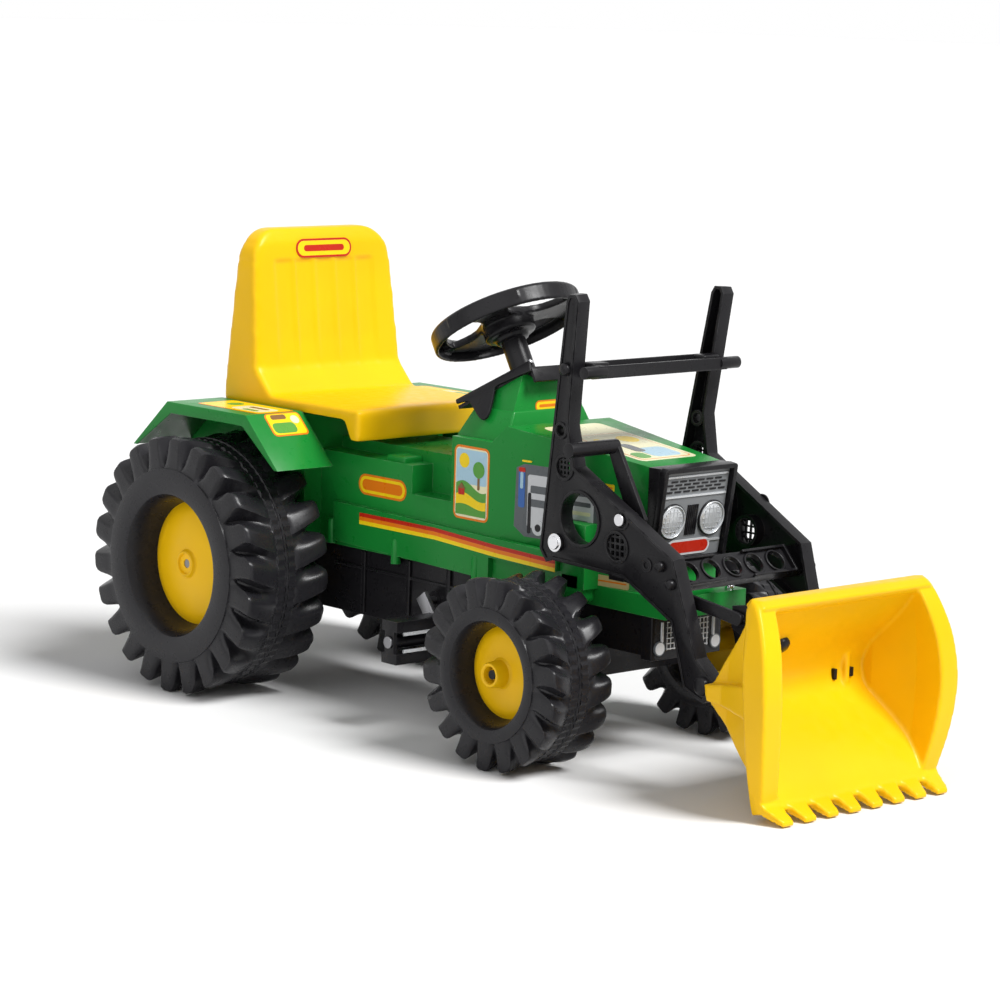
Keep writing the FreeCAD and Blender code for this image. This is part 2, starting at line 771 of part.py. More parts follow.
def seat_mass(skin):
    """The seat's outer form, or its hollow when skin is the wall."""
    low = f"(arch_top - ({skin}) * 2)"
    corner = "seat_corner"
    side = [("seat_front_x - {0}", f"{low} - seat_skirt"), ("seat_front_x - {0}", "seat_pan - {0}"),
            ("seat_pan_rear_x", "seat_pan - {0}"), ("seat_back_x - {0}", "seat_pan + seat_bend - {0} / 2"),
            ("seat_top_x - {0}", f"seat_top - {corner}"),
            (f"seat_top_x - {corner} / 2 - {{0}} / 2", "seat_top - {0}"),
            ("seat_top_rear_x + {0}", "seat_top - {0}"), ("seat_rear_x + {0}", low),
            ("seat_front_x - seat_skirt_long - seat_skirt / 2", low),
            ("seat_front_x - seat_skirt_long", f"{low} - seat_skirt")]
    side = [(x.format(skin), z.format(skin)) for x, z in side]
    half = [("seat_foot_half - {0}", f"{low} - seat_skirt"), ("seat_foot_half - {0}", "seat_pan + seat_bend"),
            ("seat_shoulder_half - {0}", "seat_shoulder"), ("seat_top_half - {0}", f"seat_top - {corner}"),
            (f"seat_top_half - {corner} - {{0}} / 2", "seat_top - {0}")]
    half = [(y.format(skin), z.format(skin)) for y, z in half]
    front = half + [(f"-({y})", z) for y, z in reversed(half)]
    return common(slab("XZ_Plane", side, "seat_foot_half * 2"), slab("YZ_Plane", front, "-seat_rear_x * 2"))


def make_seat():
    node("seat", cut(seat_mass("0"), seat_mass("seat_wall")))
    level = "(arch_top - body_wall - press_gap - bolt_head_thick)"
    bolts = [rod_z("bolt_head", level, f"{level} + bolt_head_thick", x, y)
             for x in ("seat_bolt_x", "seat_bolt_x - seat_bolt_pitch")
             for y in ("seat_bolt_y", "-seat_bolt_y")]
    node("seat_bolts", group(*bolts))


def fender_strip(drop, tip):
    """Outline of a folded strip that is drop deep on top and tip deep at its two ends."""
    top, foot = "fender_top", "fender_foot"
    fall = f"({top} - {foot}) / fender_fall"
    rear_x = f"(fender_rear_fold_x - fender_rear_run * {fall})"
    front_x = f"(fender_front_fold_x + fender_front_run * {fall})"
    return [(rear_x, foot), ("fender_rear_fold_x", top), ("fender_front_fold_x", top),
            (front_x, foot), (f"{front_x} - {tip}", foot),
            (f"fender_front_fold_x - {drop} / 2", f"{top} - {drop}"),
            (f"fender_rear_fold_x + {drop} / 2", f"{top} - {drop}"), (f"{rear_x} + {tip}", foot)]


def make_fenders():
    for side, sign, turn in mirror_signs():
        wide = f"(fender_outer_y - {FENDER_INNER})"
        top = slab("XZ_Plane", fender_strip("fender_wall", "fender_wall * 1.4"), wide,
                   y=f"{sign}({FENDER_INNER} + {wide} / 2)")
        lip = slab("XZ_Plane", fender_strip("fender_lip", "fender_wall * 2"), "fender_wall",
                   y=f"{sign}(fender_outer_y - fender_wall / 2)")
        node(f"fender_{side}", fuse(top, lip))


# Front axle and steering

def make_front_axle():
    low, high = "(front_radius - beam_drop)", "rail_floor"
    x = ("front_axle_x - beam_half_long", "front_axle_x + beam_half_long")
    parts = [box(x, ("-beam_half", "beam_half"), (low, high))]
    pins = []
    for side, sign, turn in mirror_signs():
        y = ("-fork_reach", "-beam_half") if sign else ("beam_half", "fork_reach")
        parts.append(box(x, y, (low, f"{low} + fork_thick")))
        parts.append(box(x, y, (f"{high} - fork_thick", high)))
        pins.append(rod_z("kingpin_radius", f"{low} - kingpin_over", f"{high} + kingpin_over",
                          "front_axle_x", f"{sign}kingpin_y"))
    holes = [rod_z("kingpin_radius + press_gap / 2", low, high, "front_axle_x", f"{sign}kingpin_y")
             for sign in ("-", "")]
    node("front_axle_beam", cut(fuse(*parts), *holes))
    node("kingpins", group(*pins))
    for side, sign, turn in mirror_signs():
        knuckle(f"steering_knuckle_{side}", sign, turn)


def knuckle(name, sign, turn):
    """Sleeve, stub axle and steering arm, made for the left side and turned for the right."""
    low = "(-beam_drop + fork_thick + side_gap)"
    high = "(rail_floor - front_radius - fork_thick - side_gap)"
    back = "-steer_arm" if not sign else "steer_arm"
    rear_end = "(steer_arm + tie_slot_long + tie_pin_radius)"
    arm_x = (f"-{rear_end}", "0") if not sign else ("0", rear_end)
    arm_z = (f"{high} - steer_arm_thick", high)
    stub_end = "front_plane_y + front_hub_face - axle_recess - kingpin_y"
    solid = fuse(rod_z("knuckle_radius", low, high), rod_y("axle_radius", "0", stub_end),
                 box(arm_x, ("-steer_arm_wide / 2", "steer_arm_wide / 2"), arm_z))
    eye = "tie_pin_radius + tie_pin_slack"
    slot = box((f"{back} - tie_slot_long", f"{back} + tie_slot_long"), (f"-({eye})", eye), arm_z)
    bored = cut(solid, rod_z("kingpin_radius + run_gap", low, high), slot)
    node(name, place(bored, "front_axle_x", f"{sign}kingpin_y", "front_radius", Z_AXIS, turn))


def make_tie_rod():
    x, z = "front_axle_x - steer_arm", "(front_radius - tie_drop)"
    arm_top = "(rail_floor - fork_thick - side_gap)"
    end = "(kingpin_y + tie_pin_radius * 1.5)"
    parts = [rod_y("tie_radius", f"-{end}", end, x, z)]
    parts += [rod_z("tie_pin_radius", z, f"{arm_top} + side_gap", x, f"{sign}kingpin_y")
              for sign in ("-", "")]
    parts.append(box((f"{x} - tie_plate_long / 2", f"{x} + tie_plate_long / 2"),
                     ("-tie_plate_wide / 2", "tie_plate_wide / 2"),
                     (f"{z} - tie_plate_thick / 2", f"{z} + tie_plate_thick / 2")))
    eye = "tie_pin_radius + tie_pin_slack"
    slot = box((f"{x} - tie_slot_long", f"{x} + tie_slot_long"), (f"-({eye})", eye),
               (f"{z} - tie_radius * 2", f"{z} + tie_radius * 2"))
    node("tie_rod", cut(fuse(*parts), slot))


def make_steering():
    foot_x = "(column_x + column_down * sin(column_tilt))"
    reach = f"(({foot_x} - (front_axle_x - steer_arm)) / cos(column_tilt))"
    tube = rod_z("column_radius", "0", "column_up")
    rod = rod_z("column_rod", "-column_down - drop_arm_thick", "1")
    arm = box((f"-{reach} - drop_arm_wide / 2", "drop_arm_wide / 2"),
              ("-drop_arm_wide / 2", "drop_arm_wide / 2"),
              ("-column_down - drop_arm_thick", "-column_down"))
    column = place(fuse(tube, rod, arm), *COLUMN)
    pin_z = f"(column_z - column_down * cos(column_tilt) - {reach} * sin(column_tilt))"
    pin_x, ball_z = "front_axle_x - steer_arm", "front_radius - tie_drop"
    pin = rod_z("tie_pin_radius * 0.65", ball_z, pin_z, pin_x, "0")
    ball = doc.addObject("Part::Sphere", "Ball")
    bind(ball, Radius="tie_pin_radius")
    node("steering_column", fuse(column, pin, place(ball, pin_x, "0", ball_z)))
    rim = doc.addObject("Part::Torus", "Rim")
    bind(rim, Radius1="wheel_radius - wheel_rim", Radius2="wheel_rim")
    place(rim, z="column_up + wheel_hub_long / 2")
    hub = rod_z("wheel_hub", "column_up", "column_up + wheel_hub_long")
    spokes = []
    for turn in (60, 180, 300):
        spoke = box(("0", "wheel_radius - wheel_rim"), ("-wheel_spoke_wide / 2", "wheel_spoke_wide / 2"),
                    ("column_up + wheel_spoke_thick", "column_up + wheel_spoke_thick * 2"))
        spokes.append(place(group(spoke), axis=Z_AXIS, angle=turn))
    node("steering_wheel", place(fuse(rim, hub, *spokes), *COLUMN))
    hub_top = "(column_up + wheel_hub_long)"
    screw = fuse(rod_z("wheel_screw_radius * 2", hub_top, f"{hub_top} + bolt_head_thick / 2"),
                 rod_z("wheel_screw_radius", hub_top, f"{hub_top} + bolt_head_thick"))
    node("steering_screw", place(screw, *COLUMN))
    collar = cut(rod_z("collar_radius - side_gap / 2", "-collar_long + side_gap", "-side_gap"),
                 rod_z("column_rod + run_gap", "-collar_long", "0"))
    node("column_collar", place(collar, *COLUMN))
    centre = "(column_x + (column_z - bracket_z) * tan(column_tilt))"
    plate = box((f"{centre} - bracket_long / 2", f"{centre} + bracket_long / 2"),
                ("-rail_half + rail_wide", "rail_half - rail_wide"),
                ("bracket_z", "bracket_z + bracket_thick"))
    node("column_bracket", cut(plate, column_tool("column_rod + run_gap * 3", "-column_down", "0")))


# Pedal drive

def sprocket(name, x, z):
    body = doc.addObject("PartDesign::Body", "Body")
    sketch = sketch_on(body, "XZ_Plane")
    draw_circle(sketch, ("0", "0"), "sprocket_radius - sprocket_tooth")
    draw_circle(sketch, ("0", "0"), "axle_radius")
    pad = body.newObject("PartDesign::Pad", "Plate")
    pad.Profile = sketch
    pad.SideType = "Symmetric"
    bind(pad, Length="sprocket_thick")
    tooth_sketch = sketch_on(body, "XZ_Plane")
    root = "(sprocket_radius - sprocket_tooth * 2)"
    draw_outline(tooth_sketch, [("-sprocket_tooth", root), ("-sprocket_tooth / 3", "sprocket_radius"),
                                ("sprocket_tooth / 3", "sprocket_radius"), ("sprocket_tooth", root)])
    tooth = body.newObject("PartDesign::Pad", "Tooth")
    tooth.Profile = tooth_sketch
    tooth.SideType = "Symmetric"
    bind(tooth, Length="sprocket_thick")
    doc.recompute()
    ring = body.newObject("PartDesign::PolarPattern", "Teeth")
    ring.Originals = [tooth]
    ring.Axis = (tooth_sketch, ["N_Axis"])
    ring.Angle = 360
    bind(ring, Occurrences="sprocket_teeth")
    body.Tip = ring
    node(name, place(body, x, "sprocket_y", z))


def make_drive():
    sprocket("crank_sprocket", "crank_x", "crank_z")
    sprocket("rear_sprocket", "rear_axle_x", "rear_radius")
    run, rise = "(crank_x - rear_axle_x)", "(crank_z - rear_radius)"
    span = f"sqrt({run} ^ 2 + {rise} ^ 2)"

    def loop(radius, wide):
        y = (f"-({wide}) / 2", f"({wide}) / 2")
        middle = box(("0", span), y, (f"-({radius})", radius))
        return fuse(middle, rod_y(radius, *y), rod_y(radius, *y, x=span))

    inner = "sprocket_radius + chain_gap"
    chain = cut(loop(f"{inner} + chain_thick", "chain_wide"), loop(inner, "chain_wide * 2"))
    node("drive_chain", place(chain, "rear_axle_x", "sprocket_y", "rear_radius", Y_AXIS,
                              f"-atan2({rise}; {run}) / 1 deg"))
    shaft_half = "(crank_arm_y + crank_arm_thick / 2)"
    end = "(pedal_inner_y + pedal_long + side_gap + spindle_cap_thick)"
    parts = [rod_y("axle_radius", f"-{shaft_half}", shaft_half)]
    wide = ("-crank_arm_wide / 2", "crank_arm_wide / 2")
    over = "crank_throw + crank_arm_wide / 2"
    for sign, reach in (("-", (f"-({over})", "crank_arm_wide / 2")), ("", ("-crank_arm_wide / 2", over))):
        y = f"{sign}crank_arm_y"
        parts.append(box(wide, (f"{y} - crank_arm_thick / 2", f"{y} + crank_arm_thick / 2"), reach))
        near, far = (f"-{end}", "-crank_arm_y") if sign else ("crank_arm_y", end)
        cap = (near, f"{near} + spindle_cap_thick") if sign else (f"{far} - spindle_cap_thick", far)
        height = f"{sign}crank_throw"
        parts += [rod_y("spindle_radius", near, far, z=height), rod_y("spindle_cap", *cap, z=height)]
    node("pedal_crank", place(fuse(*parts), "crank_x", "0", "crank_z", Y_AXIS, "-crank_angle"))
    for side, sign, turn in mirror_signs():
        pedal(f"pedal_{side}", sign)


def pedal(name, sign):
    near, far = "pedal_inner_y", "(pedal_inner_y + pedal_long)"
    if sign:
        near, far = f"-{far}", f"-{near}"
    wide = ("-pedal_block_wide / 2", "pedal_block_wide / 2")
    half = "pedal_block_thick / 2"
    blocks = [box(wide, (near, far), (f"{flip}pedal_block_out - {half}", f"{flip}pedal_block_out + {half}"))
              for flip in ("-", "")]
    ends = [box(("-pedal_sleeve", "pedal_sleeve"), (y, f"{y} + pedal_end_thick"),
                ("-pedal_block_out", "pedal_block_out"))
            for y in (near, f"{far} - pedal_end_thick")]
    solid = fuse(rod_y("pedal_sleeve", near, far), *blocks, *ends)
    bored = cut(solid, rod_y("spindle_radius + run_gap", near, far))
    swing = "1" if sign else "-1"
    node(name, place(bored, f"crank_x + {swing} * crank_throw * sin(crank_angle)", "0",
                     f"crank_z - {swing} * crank_throw * cos(crank_angle)"))


# Loader

LEVER_FACE = "lever_outer_y"


def arm_outline():
    tip, half = "arm_tip_z", "arm_tip_half"
    return [("arm_heel_x", "arm_heel_z + arm_round"), (f"arm_tip_x - {half}", tip),
            (f"arm_tip_x - {half} / 2", f"{tip} + {half} * 0.8"),
            (f"arm_tip_x + {half} / 2", f"{tip} + {half} * 0.8"),
            (f"arm_tip_x + {half}", tip),
            ("arm_waist_x", "arm_waist_z"), ("arm_notch_x", "arm_notch_z"),
            ("arm_knee_x", "arm_knee_z"), ("arm_shin_x", "arm_shin_z"),
            ("hinge_x + hinge_eye", "hinge_z + hinge_eye / 2"),
            ("hinge_x + hinge_eye", "hinge_z - hinge_eye / 2"), ("hinge_x", "hinge_z - hinge_eye * 1.4"),
            ("arm_back_ankle_x", "arm_back_ankle_z"), ("arm_back_knee_x", "arm_back_knee_z"),
            ("arm_under_x", "arm_under_z"),
            ("arm_heel_x + arm_round * 2", "arm_heel_z"),
            ("arm_heel_x + arm_round", "arm_heel_z - arm_round / 3")]


def loader_arm(side, sign):
    body, pad = prism("XZ_Plane", arm_outline(), "arm_wide")
    open_side = [index for index, face in enumerate(pad.Shape.Faces, start=1)
                 if face.normalAt(0, 0).y * (1 if sign else -1) > 0.99]
    shell = body.newObject("PartDesign::Thickness", "Channel")
    shell.Base = (pad, [f"Face{open_side[0]}"])
    shell.Reversed = True
    shell.Join = "Intersection"
    bind(shell, Value="arm_edge")
    place(body, y=f"{sign}arm_foot_y", axis=X_AXIS, angle="arm_lean" if sign else "-arm_lean")
    holes = [(f"arm_{name}_x", f"arm_{name}_z", f"arm_{name}_radius")
             for name in ("window", "mesh", "port", "hole")]
    # A ring stands around each hole, and ends a little below the arm's two faces
    rings = [rod_y(f"{radius} + arm_ring", *side_span(sign, "arm_foot_y", "top_end_y"), x=x, z=z)
             for x, z, radius in holes]
    blank, blank_pad = prism("XZ_Plane", arm_outline(), "arm_wide - arm_edge / 2")
    place(blank, y=f"{sign}arm_foot_y", axis=X_AXIS, angle="arm_lean" if sign else "-arm_lean")
    collars = [rod_y("nut_radius", *side_span(sign, "arm_inner_y", "arm_seat_y"), x="lift_x", z="lift_z"),
               rod_y("hinge_eye * 0.85", *side_span(sign, "hinge_inner_y", "hinge_outer_y"),
                     x="hinge_x", z="hinge_z")]
    bores = holes + [("lift_x", "lift_z", "axle_radius + run_gap"),
                     ("hinge_x", "hinge_z", "hinge_radius + press_gap / 2"),
                     ("top_pin_x", "top_bar_z", "top_pin_radius + press_gap / 2")]
    if side == "right":
        post = side_span(sign, f"{LEVER_FACE} + side_gap * 2", "arm_seat_y")
        collars.append(rod_y("lever_bolt_radius * 2", *post, x="lever_x", z="lever_z"))
        bores.append(("lever_x", "lever_z", "lever_bolt_radius + press_gap / 2"))
    through = side_span(sign, "arm_foot_y - arm_wide", "top_end_y + arm_wide")
    tools = [rod_y(radius, *through, x=x, z=z) for x, z, radius in bores]
    node(f"loader_arm_{side}", cut(fuse(body, common(fuse(*rings), blank), *collars), *tools))


def make_loader():
    for side, sign, turn in mirror_signs():
        loader_arm(side, sign)
    node("loader_pivot_rod", rod_y("axle_radius", "-arm_seat_y - 1", "arm_seat_y + 1", "lift_x", "lift_z"))
    nuts, spacers = [], []
    for side, sign, turn in mirror_signs():
        face = "arm_seat_y + side_gap / 2"
        cap = fuse(rod_y("nut_radius", face, f"{face} + nut_thick / 2"),
                   rod_y("nut_radius * 0.7", face, f"{face} + nut_thick"))
        bored = cut(cap, rod_y("axle_radius + press_gap / 2", face, "arm_seat_y + 1"))
        nuts.append(place(bored, "lift_x", "0", "lift_z", Z_AXIS, turn))
        gap = ("boss_half + press_gap", "arm_inner_y - side_gap")
        spacer = cut(rod_y("nut_radius", *gap), rod_y("axle_radius + run_gap", *gap))
        spacers.append(place(spacer, "lift_x", "0", "lift_z", Z_AXIS, turn))
    node("pivot_cap_nuts", group(*nuts))
    node("pivot_spacers", group(*spacers))
    x = ("top_bar_x - top_bar_wide / 2", "top_bar_x + top_bar_wide / 2")
    z = ("top_bar_z - top_bar_high / 2", "top_bar_z + top_bar_high / 2")
    bar = box(x, ("-top_bar_half", "top_bar_half"), z)
    trough = box((f"{x[0]} + top_bar_wall", f"{x[1]} - top_bar_wall"),
                 ("-top_bar_half + top_bar_wall * 3", "top_bar_half - top_bar_wall * 3"),
                 (f"{z[0]} + top_bar_wall", f"{z[1]} + top_bar_wall"))
    ends = []
    for sign in ("-", ""):
        ends.append(rod_y("top_pin_radius", *side_span(sign, "top_bar_half", "top_end_y"),
                          x="top_pin_x", z="top_bar_z"))
        ends.append(rod_y("top_knuckle_radius", *side_span(sign, "top_bar_half - nut_radius", "top_end_y"),
                          x="top_knuckle_x", z="top_bar_z"))
    node("loader_top_bar", fuse(cut(bar, trough), *ends))


def make_cross_member():
    """A pierced channel whose ends reach into the arms and meet their webs."""
    inner = "cross_half"
    half = "cross_high / 2"
    plate = box(("-cross_wall", "0"), (f"-{inner}", inner), (f"-{half}", half))
    flanges = [box(("-cross_flange", "0"), (f"-{inner}", inner), limits)
               for limits in ((f"-{half}", f"-{half} + cross_wall"), (f"{half} - cross_wall", half))]
    body = doc.addObject("PartDesign::Body", "Body")
    sketch = sketch_on(body, "YZ_Plane")
    count = int(sheet.cross_holes)
    for step in range(count):
        draw_circle(sketch, (f"({step} - (cross_holes - 1) / 2) * cross_pitch", "0"), "cross_hole_radius")
    pad = body.newObject("PartDesign::Pad", "Holes")
    pad.Profile = sketch
    pad.SideType = "Symmetric"
    bind(pad, Length="cross_wall * 4")
    notch = box(("-cross_flange - cross_wall", "cross_wall"),
                (f"-({LINK_FACE} + cross_notch_gap)", f"-({LINK_FACE} - link_thick - cross_notch_gap)"),
                (f"-{half} - cross_wall", f"-{half} + cross_notch"))
    member = cut(fuse(plate, *flanges), body, notch)
    place(member, "cross_x", "0", "cross_z", Y_AXIS, "-cross_tilt")
    node("loader_cross_member", cut(member, nodes["loader_arm_right"], nodes["loader_arm_left"]))


# Bucket with its tilt lever and link

EAR_FACE = "(hinge_inner_y - side_gap)"
LINK_FACE = f"({LEVER_FACE} - lever_thick - side_gap * 2)"
BRACKET_FACE = f"({LINK_FACE} - link_thick - side_gap * 2)"


# Bucket outline, set out from its hinge
DEEP_X = "(hinge_x + bucket_deep_run)"
BACK_X = "(hinge_x + bucket_back_run)"
TOP_X = f"({BACK_X} + bucket_top_run)"
TOP_Z = "(bucket_back_z + bucket_top_rise)"
BROW_X = f"({TOP_X} + bucket_brow_run)"
BROW_Z = f"({TOP_Z} - bucket_brow_drop)"
CHEEK_X = "(hinge_x + bucket_cheek_run)"
LOW_X = "(hinge_x + bucket_low_run)"
HEEL_X = "(hinge_x + bucket_heel_run)"
LIP_X = f"({HEEL_X} + bucket_lip_run)"


def make_bucket():
    back = [(TOP_X, TOP_Z), (BACK_X, "bucket_back_z"),
            (DEEP_X, "bucket_deep_z"), (LOW_X, "bucket_low_z"),
            (HEEL_X, "bucket_heel_z")]
    front = [(LIP_X, "bucket_lip_z"), (CHEEK_X, "bucket_cheek_low_z"),
             (CHEEK_X, "bucket_cheek_top_z"), (BROW_X, BROW_Z)]
    body, pad = prism("XZ_Plane", back + front, "bucket_half * 2")
    sketch = sketch_on(body, "XZ_Plane")
    wall = "bucket_wall"
    room = [(f"{TOP_X} + {wall}", f"{TOP_Z} + {wall}"),
            (f"{BACK_X} + {wall} * 1.2", "bucket_back_z"),
            (f"{DEEP_X} + {wall} * 1.2", "bucket_deep_z"),
            (f"{LOW_X} + {wall}", f"bucket_low_z + {wall}"),
            (f"{HEEL_X} + {wall}", f"bucket_heel_z + {wall}"),
            (f"{CHEEK_X} + {wall}", f"bucket_lip_z + {wall}"),
            (f"{CHEEK_X} + {wall}", f"{TOP_Z} + {wall}")]
    draw_outline(sketch, room)
    pocket = body.newObject("PartDesign::Pocket", "Inside")
    pocket.Profile = sketch
    pocket.SideType = "Symmetric"
    bind(pocket, Length=f"(bucket_half - {wall}) * 2")
    doc.recompute()
    teeth = []
    for step in range(int(sheet.teeth)):
        middle = f"({step} / (teeth - 1) - 0.5) * (bucket_half * 2 - tooth_wide)"
        teeth.append(box((f"{LIP_X} - tooth_long / 2", f"{LIP_X} + tooth_long"),
                         (f"{middle} - tooth_wide / 2", f"{middle} + tooth_wide / 2"),
                         ("bucket_lip_z - tooth_high / 2", "bucket_lip_z + tooth_high / 2")))
    lips = box((HEEL_X, f"{LIP_X} + tooth_long / 4"), ("-bucket_half", "bucket_half"),
               ("bucket_lip_z", f"bucket_lip_z + {wall}"))
    ears = []
    for sign in ("-", ""):
        outline = [("hinge_x - hinge_eye / 2", "hinge_z - hinge_eye * 0.8"),
                   ("hinge_x - hinge_eye / 2", "hinge_z + hinge_eye * 0.8"),
                   (f"{DEEP_X} + bucket_wall", "bucket_deep_z + hinge_eye"),
                   (f"{DEEP_X} + bucket_wall", "bucket_deep_z - hinge_eye")]
        ears.append(slab("XZ_Plane", outline, "ear_thick", y=f"{sign}({EAR_FACE} - ear_thick / 2)"))
    bores = rod_y("hinge_radius + run_gap", f"-{EAR_FACE}", EAR_FACE, "hinge_x", "hinge_z")
    node("bucket", cut(fuse(body, lips, *teeth, *ears), bores))
    pins = []
    for sign in ("-", ""):
        y = side_span(sign, f"{EAR_FACE} - ear_thick - 1", "hinge_outer_y + 1")
        pins.append(rod_y("hinge_radius", *y, x="hinge_x", z="hinge_z"))
    node("bucket_hinge_pins", group(*pins))


def make_tilt():
    face = LEVER_FACE
    inner = f"({face} - lever_thick)"
    half = "lever_half_wide"
    lever = [("lever_x + {0} * 1.2", "lever_z"), ("lever_foot_x + {0}", "lever_foot_z - {0} * 0.6"),
             ("lever_foot_x - {0}", "lever_foot_z - {0} * 0.6"), ("lever_foot_x - {0}", "lever_foot_z + {0}"),
             ("lever_x - {0} * 1.2", "lever_z"), ("grip_x - {0} * 0.8", "grip_z"),
             ("grip_x", "grip_z + {0} * 0.7"), ("grip_x + {0} * 0.8", "grip_z")]
    lever = [(x.format(half), z.format(half)) for x, z in lever]
    plate = slab("XZ_Plane", lever, "lever_thick", y=f"-({face} - lever_thick / 2)")
    grip = rod_y("grip_radius", "-grip_outer_y", f"-{inner}", "grip_x", "grip_z")
    stud = rod_y("link_pin_radius", f"-{inner}", f"-({LINK_FACE} - link_thick)",
                 "lever_foot_x", "lever_foot_z")
    bored = cut(plate, rod_y("lever_bolt_radius + run_gap", f"-{face}", f"-{inner}", "lever_x", "lever_z"))
    node("tilt_lever", fuse(bored, grip, stud))
    shank = rod_y("lever_bolt_radius", "-arm_seat_y", f"-{inner}", "lever_x", "lever_z")
    head = rod_y("lever_bolt_radius * 2", "-arm_seat_y - bolt_head_thick", "-arm_seat_y",
                 "lever_x", "lever_z")
    node("tilt_lever_bolt", fuse(shank, head))
    high = "link_half_high"
    run, rise = "(link_front_x - lever_foot_x)", "(link_front_z - lever_foot_z)"
    span = f"sqrt({run} ^ 2 + {rise} ^ 2)"
    y = (f"-{LINK_FACE}", f"-({LINK_FACE} - link_thick)")
    bar = fuse(box(("0", span), y, (f"-{high}", high)), rod_y(high, *y), rod_y(high, *y, x=span))
    pin = rod_y("link_pin_radius", y[1], f"-({BRACKET_FACE} - bracket_ear_thick)", span)
    link = fuse(cut(bar, rod_y("link_pin_radius + run_gap", *y)), pin)
    node("tilt_link", place(link, "lever_foot_x", "0", "lever_foot_z", Y_AXIS,
                            f"-atan2({rise}; {run}) / 1 deg"))
    ear = [("link_front_x - bracket_eye", "link_front_z - bracket_eye"),
           ("link_front_x - bracket_eye", "link_front_z + bracket_eye"),
           (f"{BACK_X} + ({TOP_X} - {BACK_X}) * 0.5", f"(bucket_back_z + {TOP_Z}) / 2"),
           (BACK_X, "bucket_back_z"),
           (f"({BACK_X} + {DEEP_X}) / 2", "(bucket_back_z + bucket_deep_z) / 2")]
    plate = slab("XZ_Plane", ear, "bracket_ear_thick", y=f"-({BRACKET_FACE} - bracket_ear_thick / 2)")
    eye = rod_y("link_pin_radius + link_pin_slack", f"-{BRACKET_FACE}",
                f"-({BRACKET_FACE} - bracket_ear_thick)", "link_front_x", "link_front_z")
    node("bucket_bracket", cut(plate, eye))


def check_and_write():
    doc.recompute()
    faults = [item.Name for item in doc.Objects if "Invalid" in item.State or "Error" in item.State]
    for name, item in nodes.items():
        if item.Shape.isNull() or not item.Shape.isValid() or not item.Shape.Solids:
            faults.append(name)
    if faults:
        raise RuntimeError(f"not built: {faults}")
    os.makedirs("parts", exist_ok=True)
    for name, item in nodes.items():
        item.Shape.exportStep(f"parts/{name}.step")


make_wheels()
make_chassis()
make_body()
make_nose()
make_visor()
make_seat()
make_fenders()
make_front_axle()
make_tie_rod()
make_steering()
make_drive()
make_loader()
make_cross_member()
make_bucket()
make_tilt()
check_and_write()
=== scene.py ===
import json
from math import cos, pi, radians, sin, sqrt, tan, tau

import bmesh
import bpy
from mathutils import Matrix, Vector


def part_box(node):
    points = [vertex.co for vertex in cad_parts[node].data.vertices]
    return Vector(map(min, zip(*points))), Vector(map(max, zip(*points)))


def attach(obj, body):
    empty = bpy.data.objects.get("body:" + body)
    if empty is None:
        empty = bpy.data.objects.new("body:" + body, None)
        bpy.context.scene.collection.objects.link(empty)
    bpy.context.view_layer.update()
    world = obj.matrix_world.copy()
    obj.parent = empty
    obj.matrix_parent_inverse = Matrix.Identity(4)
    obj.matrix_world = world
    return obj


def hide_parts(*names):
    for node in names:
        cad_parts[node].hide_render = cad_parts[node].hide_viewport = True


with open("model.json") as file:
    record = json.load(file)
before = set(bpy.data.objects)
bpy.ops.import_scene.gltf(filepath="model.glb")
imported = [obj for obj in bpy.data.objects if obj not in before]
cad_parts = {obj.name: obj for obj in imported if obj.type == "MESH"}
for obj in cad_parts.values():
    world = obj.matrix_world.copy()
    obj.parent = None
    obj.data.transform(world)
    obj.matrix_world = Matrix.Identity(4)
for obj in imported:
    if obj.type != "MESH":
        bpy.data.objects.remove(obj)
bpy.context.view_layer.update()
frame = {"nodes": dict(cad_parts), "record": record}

# X points forward, Y to the rider's left and Z up.
# Lengths in this file are in millimetres and are turned into metres when a mesh is made.
MM = 0.001
SIDES = (-1, 1)
HANDS = (("right", -1), ("left", 1))
SLOT_OF = {part["node"]: part["material_slot"] for part in frame["record"]["subparts"]}
BODY_OF = {name: body for body, names in frame["record"]["behaviour"]["bodies"].items() for name in names}


# Materials

# Scale and detail of the noise behind colour patches, scuffs and pores
PATCHES = (6.0, 4.0)
SCUFFS = (70.0, 6.0)
PORES = (900.0, 2.0)
# The stretch of noise, or of an edge's turn, over which an effect comes in
PATCH_SPAN = (0.35, 0.68)
SCUFF_SPAN = (0.42, 0.62)
GLOSS_SPAN = (0.3, 0.75)
EDGE_SPAN = (0.985, 0.86)
WHOLE = (0.0, 1.0)
GLOSS_LEAST = 0.82
GLOSS_MOST = 1.22
EDGE_RADIUS = 1.6
EDGE_SAMPLES = 4
PORE_DEPTH = 0.4
COAT_ROUGH = 0.12
PRINT_WEAR = 0.1


def link_noise(nodes, links, coords, texture):
    """A noise texture of a scale and detail in object space."""
    made = nodes.new("ShaderNodeTexNoise")
    made.inputs["Scale"].default_value, made.inputs["Detail"].default_value = texture
    links.new(coords.outputs["Object"], made.inputs["Vector"])
    return made.outputs["Fac"]


def link_range(nodes, links, source, span, result):
    """Maps a value from one range to another, held at both ends."""
    made = nodes.new("ShaderNodeMapRange")
    for key, value in zip(("From Min", "From Max", "To Min", "To Max"), (*span, *result)):
        made.inputs[key].default_value = value
    links.new(source, made.inputs["Value"])
    return made.outputs["Result"]


